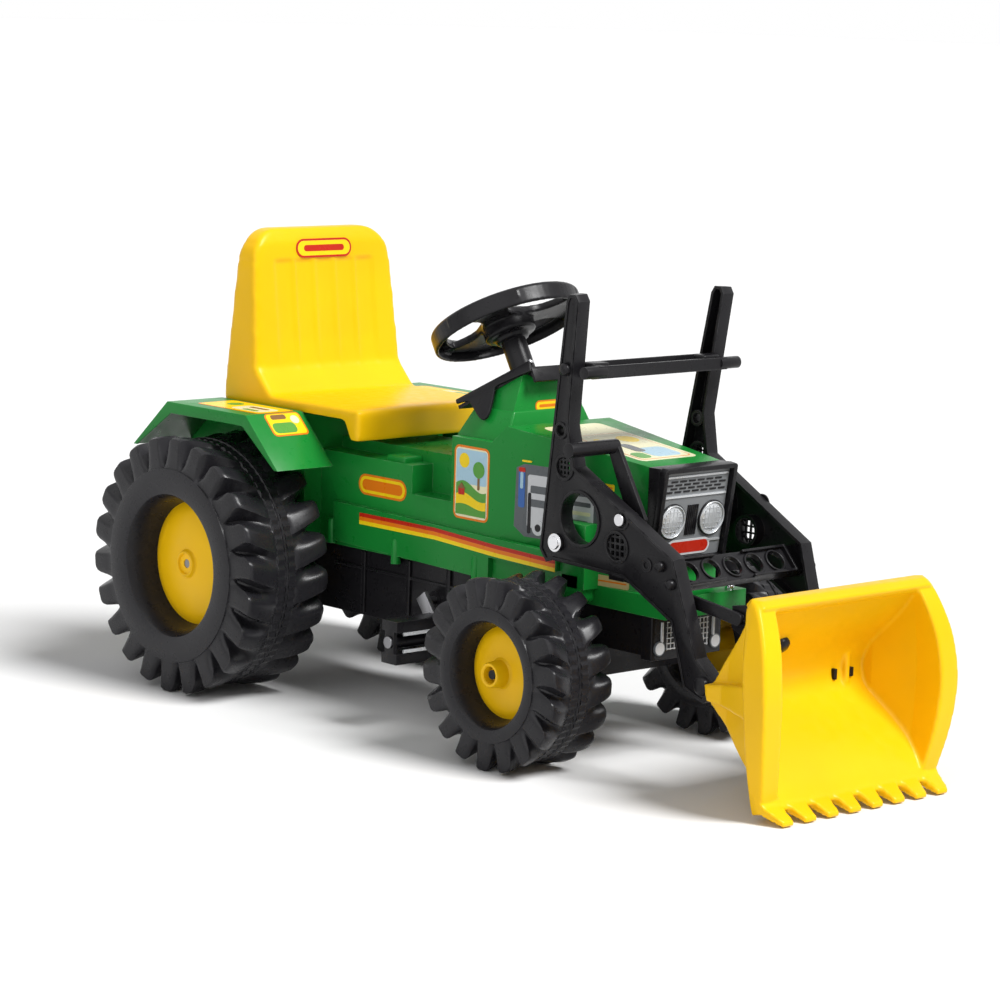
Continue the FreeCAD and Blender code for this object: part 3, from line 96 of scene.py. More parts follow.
def link_mix(nodes, links, factor, first, second):
    """Mixes two colours; the first may be a socket."""
    made = nodes.new("ShaderNodeMix")
    made.data_type = "RGBA"
    colours = [slot for slot in made.inputs if slot.type == "RGBA"]
    links.new(factor, made.inputs["Factor"])
    if isinstance(first, tuple):
        colours[0].default_value = (*first, 1.0)
    else:
        links.new(first, colours[0])
    colours[1].default_value = (*second, 1.0)
    return next(slot for slot in made.outputs if slot.type == "RGBA")


def link_edges(nodes, links, wear):
    """How far a spot lies on a sharp edge, from none up to wear."""
    bevel = nodes.new("ShaderNodeBevel")
    bevel.samples = EDGE_SAMPLES
    bevel.inputs["Radius"].default_value = EDGE_RADIUS * MM
    shape = nodes.new("ShaderNodeNewGeometry")
    turn = nodes.new("ShaderNodeVectorMath")
    turn.operation = "DOT_PRODUCT"
    links.new(bevel.outputs["Normal"], turn.inputs[0])
    links.new(shape.outputs["Normal"], turn.inputs[1])
    return link_range(nodes, links, turn.outputs["Value"], EDGE_SPAN, (0.0, wear))


def look(name, colour, rough, drift=0.16, wear=0.35, grain=0.12, metallic=0.0, coat=0.0, pale=0.35,
         sheen=0.5):
    """A moulded or plated surface: drifting colour, uneven gloss, fine grain and lighter worn edges."""
    made = bpy.data.materials.new(name)
    made.use_nodes = True
    nodes = made.node_tree.nodes
    links = made.node_tree.links
    shader = nodes["Principled BSDF"]
    coords = nodes.new("ShaderNodeTexCoord")
    patches = link_noise(nodes, links, coords, PATCHES)
    scuffs = link_noise(nodes, links, coords, SCUFFS)
    pores = link_noise(nodes, links, coords, PORES)
    dark = tuple(part * (1.0 - drift) for part in colour)
    light = tuple(part + (1.0 - part) * pale for part in colour)
    drifting = link_range(nodes, links, patches, PATCH_SPAN, WHOLE)
    base = link_mix(nodes, links, drifting, colour, dark)
    rubbed = nodes.new("ShaderNodeMath")
    rubbed.operation = "MULTIPLY"
    links.new(link_edges(nodes, links, wear), rubbed.inputs[0])
    links.new(link_range(nodes, links, scuffs, SCUFF_SPAN, WHOLE), rubbed.inputs[1])
    worn = link_mix(nodes, links, rubbed.outputs["Value"], base, light)
    links.new(worn, shader.inputs["Base Color"])
    gloss = link_range(nodes, links, scuffs, GLOSS_SPAN, (rough * GLOSS_LEAST, rough * GLOSS_MOST))
    links.new(gloss, shader.inputs["Roughness"])
    bump = nodes.new("ShaderNodeBump")
    bump.inputs["Strength"].default_value = grain
    bump.inputs["Distance"].default_value = PORE_DEPTH * MM
    links.new(pores, bump.inputs["Height"])
    links.new(bump.outputs["Normal"], shader.inputs["Normal"])
    shader.inputs["Metallic"].default_value = metallic
    shader.inputs["Specular IOR Level"].default_value = sheen
    shader.inputs["Coat Weight"].default_value = coat
    shader.inputs["Coat Roughness"].default_value = COAT_ROUGH
    return made


def print_look(name, colour, rough=0.30, sheen=0.2):
    """A printed ink."""
    return look("print_" + name, colour, rough, wear=PRINT_WEAR, sheen=sheen)


LOOKS = {
    "green": look("green_plastic", (0.008, 0.215, 0.030), 0.32, sheen=0.2),
    "yellow": look("yellow_plastic", (0.88, 0.51, 0.002), 0.36, drift=0.10, wear=0.2, sheen=0.2),
    "black": look("black_plastic", (0.010, 0.0095, 0.011), 0.30, pale=0.14, sheen=0.17),
    "tyre": look("tyre_plastic", (0.015, 0.0145, 0.017), 0.29, grain=0.2, pale=0.1, sheen=0.22),
    "grille": look("grille_grey", (0.20, 0.21, 0.22), 0.42),
    "lamp": look("lamp_silver", (0.62, 0.64, 0.66), 0.24, metallic=0.35, coat=0.5),
    "steel": look("bare_steel", (0.24, 0.24, 0.25), 0.42, metallic=1.0),
    "chrome": look("bright_chrome", (0.72, 0.72, 0.74), 0.14, metallic=1.0, wear=0.15),
}
PRINTS = {
    "red": print_look("red", (0.52, 0.022, 0.008)),
    "orange": print_look("orange", (0.80, 0.20, 0.008)),
    "sun": print_look("yellow", (0.94, 0.66, 0.01)),
    "cream": print_look("cream", (0.84, 0.80, 0.52)),
    "sky": print_look("sky", (0.40, 0.60, 0.72)),
    "leaf": print_look("leaf", (0.10, 0.34, 0.05)),
    "soil": print_look("brown", (0.24, 0.12, 0.04)),
    "silver": print_look("silver", (0.62, 0.63, 0.65), rough=0.26, sheen=0.3),
    "shade": print_look("grey", (0.12, 0.13, 0.14)),
    "blue": print_look("blue", (0.05, 0.14, 0.42)),
    "ink": print_look("black", (0.012, 0.012, 0.014)),
    "tan": print_look("tan", (0.62, 0.47, 0.22), rough=0.34),
}


# Shapes: each is (points, faces) in millimetres

# How far a ring's rounding reaches at most, how far grid bars run past their hole and step at crossings
RING_EDGE = 0.8
BAR_OVERLAP = 0.8
BAR_STEP = 0.1
# A button's outline: share of its radius, share of its height
DOME_SHARES = ((1.0, 0.0), (1.0, 0.45), (0.9, 0.72), (0.62, 0.93), (0.2, 1.0))
# A sharp corner of an inset outline moves no further than one over this
CORNER_LEAST = 0.35


def merged(*shapes):
    """Several shapes as one."""
    points = []
    faces = []
    for more, corners in shapes:
        start = len(points)
        points += more
        faces += [tuple(start + corner for corner in face) for face in corners]
    return points, faces


def moved(shape, matrix):
    """The shape under a transform."""
    return [matrix @ Vector(point) for point in shape[0]], shape[1]


def mirrored(shape):
    """The shape on the other side of the tractor."""
    return [Vector((point[0], -point[1], point[2])) for point in shape[0]], shape[1]


def both(shape):
    """The shape and its mirror image."""
    return merged(shape, mirrored(shape))


def frame_at(origin, across, up):
    """A transform whose first two axes lie along across and up."""
    first = Vector(across).normalized()
    third = first.cross(Vector(up)).normalized()
    second = third.cross(first)
    made = Matrix((first, second, third)).transposed().to_4x4()
    made.translation = Vector(origin)
    return made


def tilted(origin, degrees):
    """A transform to a place, turned about Y so that its Z axis leans backwards."""
    return Matrix.Translation(origin) @ Matrix.Rotation(radians(-degrees), 4, "Y")


def skin(rings, closed):
    """Quads between closed rings; the last ring joins the first, or both ends are capped."""
    count = len(rings[0])
    points = [Vector(point) for ring in rings for point in ring]
    faces = []
    spans = len(rings) if closed else len(rings) - 1
    for row in range(spans):
        low = row * count
        high = (row + 1) % len(rings) * count
        for column in range(count):
            after = (column + 1) % count
            faces.append((low + column, low + after, high + after, high + column))
    if not closed:
        faces.append(tuple(range(count)))
        faces.append(tuple(range(len(points) - count, len(points))))
    return points, faces


def lathe(profile, steps=48, closed=False):
    """A profile of (radius, height) turned about Z."""
    rings = []
    for radius, height in profile:
        rings.append([(a, b, height) for a, b in circle(0.0, 0.0, radius, steps)])
    return skin(rings, closed)


def slab(outline, low, high):
    """A flat outline in XY made solid from low to high along Z."""
    return skin([[(a, b, low) for a, b in outline], [(a, b, high) for a, b in outline]], False)


def brick(low, high):
    """A box between two corners."""
    (ax, ay, az), (bx, by, bz) = low, high
    return slab([(ax, ay), (bx, ay), (bx, by), (ax, by)], az, bz)


def circle(across, up, radius, steps=28):
    """A circle about a middle."""
    outline = []
    for step in range(steps):
        angle = tau * step / steps
        outline.append((across + radius * cos(angle), up + radius * sin(angle)))
    return outline


def rounded(across, up, wide, high, radius, steps=6):
    """A rounded rectangle about a middle."""
    outline = []
    for turn, (side, level) in enumerate(((1, 1), (-1, 1), (-1, -1), (1, -1))):
        for step in range(steps + 1):
            angle = pi / 2 * (turn + step / steps)
            outline.append((across + side * (wide / 2 - radius) + radius * cos(angle),
                            up + level * (high / 2 - radius) + radius * sin(angle)))
    return outline


def curve(points, steps=6):
    """A smooth path through points."""
    path = []
    last = len(points) - 1
    for index in range(last):
        before = Vector(points[max(index - 1, 0)])
        start = Vector(points[index])
        end = Vector(points[index + 1])
        after = Vector(points[min(index + 2, last)])
        for step in range(steps):
            share = step / steps
            bend = (start * 2 + (end - before) * share
                    + (before * 2 - start * 5 + end * 4 - after) * share ** 2
                    + (start * 3 - before - end * 3 + after) * share ** 3) / 2
            path.append(tuple(bend))
    path.append(tuple(points[last]))
    return path


def inset(outline, distance):
    """The outline moved inwards; it runs clockwise or anticlockwise."""
    pairs = list(zip(outline, outline[1:] + outline[:1]))
    turn = sum(here[0] * after[1] - after[0] * here[1] for here, after in pairs)
    side = 1.0 if turn > 0 else -1.0
    inner = []
    for index, (here, after) in enumerate(pairs):
        into = (Vector(here) - Vector(outline[index - 1])).normalized()
        away = (Vector(after) - Vector(here)).normalized()
        first = Vector((-into.y, into.x)) * side
        second = Vector((-away.y, away.x)) * side
        middle = (first + second).normalized()
        inner.append(tuple(Vector(here) + middle * distance / max(CORNER_LEAST, middle.dot(first))))
    return inner


def rim_strip(outline, wide, low, high):
    """A raised strip along the inside of an outline."""
    inner = inset(outline, wide)
    rings = []
    for path, level in ((outline, low), (outline, high), (inner, high), (inner, low)):
        rings.append([(a, b, level) for a, b in path])
    return skin(rings, True)


def ring(across, up, inner, outer, low, high):
    """A flat ring with softened edges."""
    edge = min(RING_EDGE, (outer - inner) / 4)
    profile = [(inner, low), (inner, high - edge), (inner + edge, high),
               (outer - edge, high), (outer, high - edge), (outer, low)]
    return moved(lathe(profile, 40, closed=True), Matrix.Translation((across, up, 0)))


def dome(across, up, radius, low, high):
    """A rounded button."""
    profile = [(radius * wide, low + (high - low) * rise) for wide, rise in DOME_SHARES]
    return moved(lathe(profile, 32), Matrix.Translation((across, up, 0)))


def grid_bars(across, up, radius, lines, wide, low, high):
    """Crossing bars that fill a round hole."""
    bars = []
    for line in range(lines):
        shift = (line - (lines - 1) / 2) * 2 * radius / lines
        half = sqrt(radius * radius - shift * shift) + BAR_OVERLAP
        bars.append(brick((across + shift - wide / 2, up - half, low),
                          (across + shift + wide / 2, up + half, high)))
        bars.append(brick((across - half, up + shift - wide / 2, low + BAR_STEP),
                          (across + half, up + shift + wide / 2, high - BAR_STEP)))
    return merged(*bars)


XZ = frame_at((0, 0, 0), (1, 0, 0), (0, 0, 1))


def side_plate(outline, inner, outer, side=1):
    """An outline of (x, z) made solid between two distances from the middle, on the right or left."""
    low, high = sorted((side * inner, side * outer))
    return moved(slab(outline, low, high), XZ)


# Pieces

# Degrees of turn from which an edge is rounded, and is shaded crisp on plain and on soft pieces
ROUND_ANGLE = 28.0
CRISP_ANGLE = 34.0
SMOOTH_ANGLE = 60.0
# A CAD mesh is cleaned by joining points this close and dissolving edges flatter than this
JOIN_DISTANCE = 0.01
FLAT_ANGLE = 0.6
# A sticker's foot below the surface, its first layer's height and the step up to the next
STICKER_SINK = 0.3
STICKER_HIGH = 0.35
STICKER_STEP = 0.12


def linked(data, name):
    """A new object in the scene, of a mesh, a light or a camera."""
    made = bpy.data.objects.new(name, data)
    bpy.context.scene.collection.objects.link(made)
    return made


def solid(shape, name):
    """A mesh object of a shape, with its faces turned outwards."""
    mesh = bpy.data.meshes.new(name)
    mesh.from_pydata([Vector(point) * MM for point in shape[0]], [], shape[1])
    work = bmesh.new()
    work.from_mesh(mesh)
    bmesh.ops.recalc_face_normals(work, faces=work.faces)
    work.to_mesh(mesh)
    work.free()
    return linked(mesh, name)


def copy_node(node):
    """A clean copy of a CAD node's mesh as a new object."""
    work = bmesh.new()
    work.from_mesh(frame["nodes"][node].data)
    bmesh.ops.remove_doubles(work, verts=work.verts, dist=JOIN_DISTANCE * MM)
    flat = radians(FLAT_ANGLE)
    bmesh.ops.dissolve_limit(work, angle_limit=flat, verts=work.verts, edges=work.edges)
    mesh = bpy.data.meshes.new(node + "_skin")
    work.to_mesh(mesh)
    work.free()
    return linked(mesh, node + "_skin")


def bake(item):
    """Fixes an object's modifiers into its mesh."""
    graph = bpy.context.evaluated_depsgraph_get()
    mesh = bpy.data.meshes.new_from_object(item.evaluated_get(graph))
    item.modifiers.clear()
    item.data = mesh


def soft_edges(item, width):
    """Rounds an object's sharp edges."""
    bevel = item.modifiers.new("round", "BEVEL")
    bevel.width = width * MM
    bevel.segments = 3
    bevel.limit_method = "ANGLE"
    bevel.angle_limit = radians(ROUND_ANGLE)
    bevel.miter_outer = "MITER_ARC"
    bevel.use_clamp_overlap = True
    bevel.harden_normals = False
    bake(item)


def fused(item, voxel, rounds):
    """Joins overlapping solids into one smooth skin."""
    remesh = item.modifiers.new("join", "REMESH")
    remesh.mode = "VOXEL"
    remesh.voxel_size = voxel * MM
    smooth = item.modifiers.new("relax", "SMOOTH")
    smooth.factor = 0.5
    smooth.iterations = rounds
    bake(item)


def settle(item, body, surface, hides=(), smooth=CRISP_ANGLE):
    """Shades an object and hangs it on its body."""
    mesh = item.data
    mesh.materials.clear()
    mesh.materials.append(surface)
    mesh.polygons.foreach_set("use_smooth", [True] * len(mesh.polygons))
    mesh.set_sharp_from_angle(angle=radians(smooth))
    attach(item, body)
    if hides:
        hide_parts(*hides)


def piece(name, shape, body, slot, width=0.0, hides=()):
    """A finished piece of a shape, with its edges rounded where a width is given."""
    made = solid(shape, name)
    if width:
        soft_edges(made, width)
    settle(made, body, LOOKS[slot], hides)


def stand_in(item, node, smooth=CRISP_ANGLE):
    """Shows an object in place of a CAD node, on its body and in its material."""
    slot = SLOT_OF[node]
    settle(item, BODY_OF[node], LOOKS[slot], (node,), smooth)


def decal(name, place, layers, body="chassis"):
    """A printed sticker: each layer is (print, outline), and later layers lie on top."""
    shapes = []
    for level, (ink, outline) in enumerate(layers):
        shapes.append((ink, slab(outline, -STICKER_SINK, STICKER_HIGH + STICKER_STEP * level)))
    made = solid(moved(merged(*[shape for ink, shape in shapes]), place), name)
    inks = list(dict.fromkeys(ink for ink, shape in shapes))
    settle(made, body, PRINTS[inks[0]])
    for ink in inks[1:]:
        made.data.materials.append(PRINTS[ink])
    owners = [inks.index(ink) for ink, shape in shapes for face in shape[1]]
    made.data.polygons.foreach_set("material_index", owners)


def node_box(node):
    """The low and high corner of a CAD node's box."""
    return [Vector(end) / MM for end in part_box(node)]


# Tyres and discs

# A lug's cross-section: its height as a share, column by column around the tyre
LUG_RISE = (0.0, 0.05, 0.22, 0.48, 0.74, 0.90, 0.97, 1.0, 1.0, 1.0, 1.0, 1.0, 0.96, 0.35)
LUG_COLUMNS = len(LUG_RISE)
LUG_SKEW = 0.42
SKEW_POWER = 0.9
# Along a lug from the seam outwards: share of the way, drop of the lug's top, pocket's share of the depth
LUG_STATIONS = ((0.0, 7.2, 0.22), (0.14, 5.4, 0.25), (0.32, 3.2, 0.30), (0.52, 1.3, 0.38),
                (0.70, 0.2, 0.51), (0.84, 0.0, 0.66), (0.93, 0.4, 0.78), (0.98, 2.4, 0.87))
POCKET_PULL = 0.12
# Down a lug's end: share of the depth, how far the pocket is sunk, power that widens the lug
END_STATIONS = ((0.62, 4.5, 0.8), (0.30, 2.5, 0.55), (0.05, 1.0, 0.35))
END_INSET = 2.5
END_POCKET = 0.16
# The moulding seam in the middle of the tread: distance from the middle, rise above the band
SEAM_BAND = 16.0
SEAM_SINK = 8.0
SEAM_RIDGE = ((0.9, 2.2), (2.0, 0.0), (3.0, 0.0))
SEAM_EDGE = 0.8
RIB_ENDS = (3.4, 14.5)
RIB_HIGH = 1.8
# The sidewall's outer corner and the rim of its opening: distance in from the face, rise above their radius
SHOULDER = ((2.2, 0.0), (0.3, -0.5), (0.0, -1.6))
MOUTH_RIM = ((0.0, 7.0), (1.2, 2.4), (4.5, 0.0))
TYRE_CRISP = 38.0
DISC_CRISP = 30.0
DISC_STEPS = 72
# Radius over the lugs, of the sidewall's top, of its opening and of the disc's seat; width; depth to the seat
REAR_TYRE = dict(radius=180.0, side=136.0, mouth=97.5, seat=86.5, width=144.0, lip=46.0, lugs=22)
FRONT_TYRE = dict(radius=125.0, side=87.0, mouth=67.5, seat=60.0, width=108.0, lip=36.0, lugs=18)
# Each disc's profile: radius, distance outwards from the wheel's middle
REAR_DISC = [(86.4, 26.0), (83.0, 27.6), (80.0, 29.6), (70.0, 32.6), (52.0, 35.6), (36.0, 37.7), (24.0, 38.7),
             (20.5, 39.0), (19.0, 40.4), (18.0, 43.4), (16.5, 44.6), (14.8, 43.8), (13.6, 40.5), (6.4, 40.0),
             (6.4, -49.0), (15.0, -49.0), (15.0, 33.0), (52.0, 30.0), (80.0, 23.0), (86.4, 21.0)]
FRONT_DISC = [(59.9, 18.0), (57.0, 19.4), (54.5, 21.4), (48.0, 23.0), (36.0, 24.6), (25.0, 25.2),
              (20.5, 26.4), (18.0, 29.0), (16.2, 45.6), (15.0, 47.5), (12.4, 47.5), (11.2, 46.0),
              (10.6, 34.0), (6.4, 33.6), (6.4, -50.0), (15.0, -50.0), (15.5, 20.0),
              (46.0, 17.0), (59.9, 13.0)]
REAR_AXLE = (-435.0, 210.0, 180.0)
FRONT_AXLE = (182.0, 192.5, 125.0)


def tyre_half(radius, side, half):
    """Stations from the middle seam to the sidewall: (kind, lug point, pocket point, skew, power)."""
    deep = radius - side
    bed = radius - SEAM_SINK
    stations = []
    for across, rise in SEAM_RIDGE:
        spot = (across, bed + rise)
        stations.append(("flat", spot, spot, LUG_SKEW, 1.0))
    for across in RIB_ENDS:
        stations.append(("rib", (across, bed + RIB_HIGH), (across, bed), LUG_SKEW, 1.0))
    edge = (SEAM_BAND - SEAM_EDGE, bed)
    stations.append(("flat", edge, edge, LUG_SKEW, 1.0))
    reach = half - END_INSET - SEAM_BAND
    for share, drop, sink in LUG_STATIONS:
        lug = (SEAM_BAND + reach * share, radius - drop)
        pocket = (SEAM_BAND + reach * share * (1.0 - POCKET_PULL * share ** 2), radius - deep * sink)
        stations.append(("lug", lug, pocket, LUG_SKEW * (1.0 - share) ** SKEW_POWER, 1.0))
    for share, sunk, power in END_STATIONS:
        lug = (half - END_INSET, side + deep * share)
        pocket = (half - END_INSET - sunk, side + deep * share * END_POCKET)
        stations.append(("lug", lug, pocket, 0.0, power))
    return stations


def tyre(name, node, centre, out, radius, side, mouth, seat, width, lip, lugs):
    """A lugged tyre about an axle; out is the sign of its outer side."""
    half = width / 2
    stations = tyre_half(radius, side, half)
    wall = [(half - inward, side + rise) for inward, rise in SHOULDER]
    wall += [(half - inward, mouth + rise) for inward, rise in MOUTH_RIM]
    wall += [(half - lip / 2, (mouth + seat) / 2), (half - lip, seat)]
    stations += [("flat", spot, spot, 0.0, 1.0) for spot in wall]
    stagger = {1: 0.0, -1: 0.5}

    def tread_ring(facing, kind, lug, pocket, skew, power):
        made = []
        for column in range(lugs * LUG_COLUMNS):
            rise = column // 2 % 2 if kind == "rib" else LUG_RISE[column % LUG_COLUMNS] ** power
            angle = -tau * (column / LUG_COLUMNS + skew + stagger[facing]) / lugs
            across = pocket[0] + (lug[0] - pocket[0]) * rise
            reach = pocket[1] + (lug[1] - pocket[1]) * rise
            made.append((centre[0] + reach * cos(angle), centre[1] + out * facing * across,
                         centre[2] + reach * sin(angle)))
        return made

    inner = [tread_ring(-1, *station) for station in reversed(stations)]
    outer = [tread_ring(1, *station) for station in stations]
    stand_in(solid(skin(inner + outer, True), name), node, TYRE_CRISP)


def wheel_disc(name, node, centre, out, profile):
    """A wheel disc turned about an axle; out is the sign of its outer side."""
    place = frame_at(centre, (1, 0, 0), (0, 0, -out))
    stand_in(solid(moved(lathe(profile, DISC_STEPS, closed=True), place), name), node, DISC_CRISP)


def make_wheels():
    for hand, out in HANDS:
        rear = (REAR_AXLE[0], out * REAR_AXLE[1], REAR_AXLE[2])
        front = (FRONT_AXLE[0], out * FRONT_AXLE[1], FRONT_AXLE[2])
        tyre("rear_tread_" + hand, "rear_tyre_" + hand, rear, out, **REAR_TYRE)
        tyre("front_tread_" + hand, "front_tyre_" + hand, front, out, **FRONT_TYRE)
        wheel_disc("rear_dish_" + hand, "rear_disc_" + hand, rear, out, REAR_DISC)
        wheel_disc("front_dish_" + hand, "front_disc_" + hand, front, out, FRONT_DISC)


make_wheels()


# Seat

SEAT_VOXEL = 3.0
SEAT_ROUNDS = 34
FLUTES = 5
FLUTE_WIDE = 37.0
FLUTE_DEEP = 3.2
FLUTE_TOP = 600.0
FLUTE_FOOT = 436.0
# The flutes fade out over these heights, and lie on faces that look forward behind this X
FLUTE_FADE = 50.0
FLUTE_END = 6.0
FLUTE_FACING = 0.5
FLUTE_FRONT = -380.0
# Half width of the seat's back at these heights, and the rounding of its top corners
BACK_WIDTHS = ((590.0, 127.0), (622.0, 118.0), (642.0, 98.0))
CORNER_FOOT = 596.0
CORNER_HIGH = 46.0
CORNER_WIDE = 45.0


def back_width(level):
    """Half width of the CAD seat's back at a height."""
    for (low, wide), (high, narrow) in zip(BACK_WIDTHS, BACK_WIDTHS[1:]):
        if level <= high:
            break
    return wide + (narrow - wide) * (min(level, high) - low) / (high - low)


def round_corners(mesh):
    """Draws the seat's top corners in to an arc."""
    for vertex in mesh.vertices:
        climb = min(1.0, (vertex.co.z / MM - CORNER_FOOT) / CORNER_HIGH)
        if climb > 0.0:
            wanted = back_width(CORNER_FOOT) - CORNER_WIDE * (1.0 - sqrt(1.0 - climb * climb))
            vertex.co.y *= wanted / back_width(CORNER_FOOT + CORNER_HIGH * climb)


def press_flutes(mesh):
    """Sinks upright flutes into the front of the seat's back."""
    span = FLUTES * FLUTE_WIDE
    normals = [vertex.normal.copy() for vertex in mesh.vertices]
    for vertex, normal in zip(mesh.vertices, normals):
        x, y, z = vertex.co / MM
        outside = abs(y) > span / 2 or not FLUTE_FOOT < z < FLUTE_TOP
        if normal.x < FLUTE_FACING or outside or x > FLUTE_FRONT:
            continue
        share = (y + span / 2) % FLUTE_WIDE / FLUTE_WIDE * 2.0 - 1.0
        arch = 1.0 - share ** 4
        end = min(1.0, (FLUTE_TOP - z) / FLUTE_END)
        foot = min(1.0, (z - FLUTE_FOOT) / FLUTE_FADE)
        vertex.co -= normal * FLUTE_DEEP * MM * arch * end * foot


def make_seat():
    """The seat, softened, with round corners and flutes."""
    made = copy_node("seat")
    fused(made, SEAT_VOXEL, SEAT_ROUNDS)
    round_corners(made.data)
    press_flutes(made.data)
    stand_in(made, "seat", SMOOTH_ANGLE)


make_seat()


# Steering wheel

COLUMN = tilted((-21.0, 0.0, 470.0), 30.0)
STEERING_VOXEL = 1.6
STEERING_ROUNDS = 4
# Radius and height above the column's foot
RIM_PROFILE = ((105.0, 71.5), (105.0, 92.0), (102.5, 95.5), (96.0, 97.0), (88.0, 96.0), (84.5, 92.5),
               (84.0, 82.0), (87.0, 81.0), (89.0, 88.0), (96.0, 89.0), (99.0, 86.0),
               (100.0, 70.5), (103.5, 70.0))
HUB_PROFILE = ((19.0, 54.0), (23.0, 55.5), (24.0, 61.0), (34.0, 62.5), (36.0, 65.0), (36.0, 86.0),
               (33.0, 91.0), (26.0, 95.0), (16.0, 98.0), (8.0, 98.0))
SPOKE_EDGE = ((20, -30), (40, -22), (60, -24), (80, -36), (93, -52))
SPOKE_LEVELS = (80.0, 90.0)
SPOKE_ANGLES = (60.0, 180.0, 300.0)
SCREW_RADIUS = 4.5
SCREW_REACH = (15.0, 21.0)
SCREW_UP = 16.0


def make_steering():
    """The steering wheel and the screw in its column."""
    shapes = [lathe(RIM_PROFILE, 72, closed=True), lathe(HUB_PROFILE)]
    outline = curve(SPOKE_EDGE, 4)
    outline += [(a, -b) for a, b in reversed(outline)]
    for angle in SPOKE_ANGLES:
        turn = Matrix.Rotation(radians(angle), 4, "Z")
        shapes.append(moved(slab(outline, *SPOKE_LEVELS), turn))
    made = solid(moved(merged(*shapes), COLUMN), "steering_wheel_skin")
    fused(made, STEERING_VOXEL, STEERING_ROUNDS)
    stand_in(made, "steering_wheel", SMOOTH_ANGLE)
    side = COLUMN @ frame_at((0, 0, SCREW_UP), (0, 1, 0), (0, 0, 1))
    piece("column_screw", moved(dome(0, 0, SCREW_RADIUS, *SCREW_REACH), side), "steering", "chrome")


make_steering()


# Bucket

BUCKET_VOXEL = 2.2
BUCKET_ROUNDS = 6
# Distances from the middle: the rims' reach, the side walls, the hinge ears and the stays behind the rims
BUCKET_HALF = 158.0
BUCKET_WALL = (128.0, 137.0)
HINGE_EAR = (88.8, 97.4)
STAY = (130.0, 149.0)
LIP_INSET = 6.0
# Outlines in X and Z: the back from its top down to the floor's edge, outside and inside, and the rims
BACK_OUTER = ((540, 262), (521, 222), (496, 188), (478, 158), (469, 142), (471, 128), (482, 118), (504, 98),
              (535, 67), (560, 45), (578, 26), (587, 13))
BACK_INNER = ((570, 262), (536, 222), (502, 186), (488, 163), (484, 146), (490, 128), (509, 109), (549, 74),
              (575, 46), (589, 25))
FLOOR_TIP = (594, 16)
RIM_FRONT = ((552, 272), (566, 262), (580, 238), (592, 207), (598, 177), (601, 148), (600, 112), (596, 76),
             (590, 42), (584, 12))
RIM_BACK = ((546, 258), (552, 222), (561, 169), (566, 127), (567, 78), (566, 27), (567, 8))
EAR_OUTLINE = ((430, 150), (436, 156), (446, 158), (492, 166), (492, 122), (446, 127), (436, 129), (430, 135))
STAY_OUTLINE = ((470, 152), (566, 168), (570, 124), (474, 132))
LIP_OUTLINE = ((546, 271), (539, 262), (549, 253), (566, 253), (572, 262), (562, 270))
# The rims bulge sideways from this foot over this height, more towards the front
RIM_SWELL = 0.14
SWELL_FOOT = 6.0
SWELL_HIGH = 268.0
SWELL_START = 500.0
SWELL_RUN = 60.0
TEETH = 8
TOOTH_INSET = 15.0
# Along a tooth: X, half width, height of its underside and top
TOOTH_STATIONS = ((576, 16.5, 16, 34), (590, 15.5, 9, 23), (615, 10.0, 1, 8))
STUD_FACE = frame_at((516, -64, 200), (0, 1, 0), (0.687, 0, 0.727))
STUD_RADIUS = 13.0
STUD_REACH = (-3.0, 9.0)
BUCKET_SLOTS = (((480, 70, 135), (490, 75, 149)), ((480, 99, 136), (490, 106, 148)))


def tooth(middle):
    """One flat tapered tooth that carries on from the bucket's floor."""
    rings = []
    for x, half, low, high in TOOTH_STATIONS:
        left, right = middle - half, middle + half
        rings.append([(x, left, low), (x, right, low), (x, right, high), (x, left, high)])
    return skin(rings, False)


def swell_rims(mesh):
    """Bulges the bucket's rims sideways."""
    for vertex in mesh.vertices:
        x, y, z = vertex.co / MM
        bulge = max(0.0, sin(pi * (z - SWELL_FOOT) / SWELL_HIGH))
        forward = min(1.0, max(0.0, (x - SWELL_START) / SWELL_RUN))
        vertex.co.y *= 1.0 + RIM_SWELL * bulge * forward


def make_bucket():
    """The bucket, its stud and the slots in its back."""
    shell = curve(BACK_OUTER) + [FLOOR_TIP] + curve(BACK_INNER)[::-1]
    wall = curve(BACK_OUTER) + curve(RIM_FRONT)[::-1]
    rim = curve(RIM_FRONT) + curve(RIM_BACK)[::-1]
    shapes = [side_plate(shell, -BUCKET_WALL[1], BUCKET_WALL[1])]
    for side in (1, -1):
        shapes.append(side_plate(wall, *BUCKET_WALL, side))
        shapes.append(side_plate(rim, BUCKET_WALL[0], BUCKET_HALF, side))
        shapes.append(side_plate(EAR_OUTLINE, *HINGE_EAR, side))
        shapes.append(side_plate(STAY_OUTLINE, *STAY, side))
    shapes.append(side_plate(LIP_OUTLINE, LIP_INSET - BUCKET_HALF, BUCKET_HALF - LIP_INSET))
    pitch = 2 * (BUCKET_HALF - TOOTH_INSET) / (TEETH - 1)
    for index in range(TEETH):
        shapes.append(tooth((index - (TEETH - 1) / 2) * pitch))
    made = solid(merged(*shapes), "bucket_skin")
    fused(made, BUCKET_VOXEL, BUCKET_ROUNDS)
    swell_rims(made.data)
    stand_in(made, "bucket", SMOOTH_ANGLE)
    stud = moved(dome(0, 0, STUD_RADIUS, *STUD_REACH), STUD_FACE)
    piece("bucket_stud", stud, "scoop", "black")
    slots = merged(*[brick(*ends) for ends in BUCKET_SLOTS])
    piece("bucket_slots", slots, "scoop", "black", 0.8)


make_bucket()


# CAD nodes shown with rounded edges, and how wide the rounding is

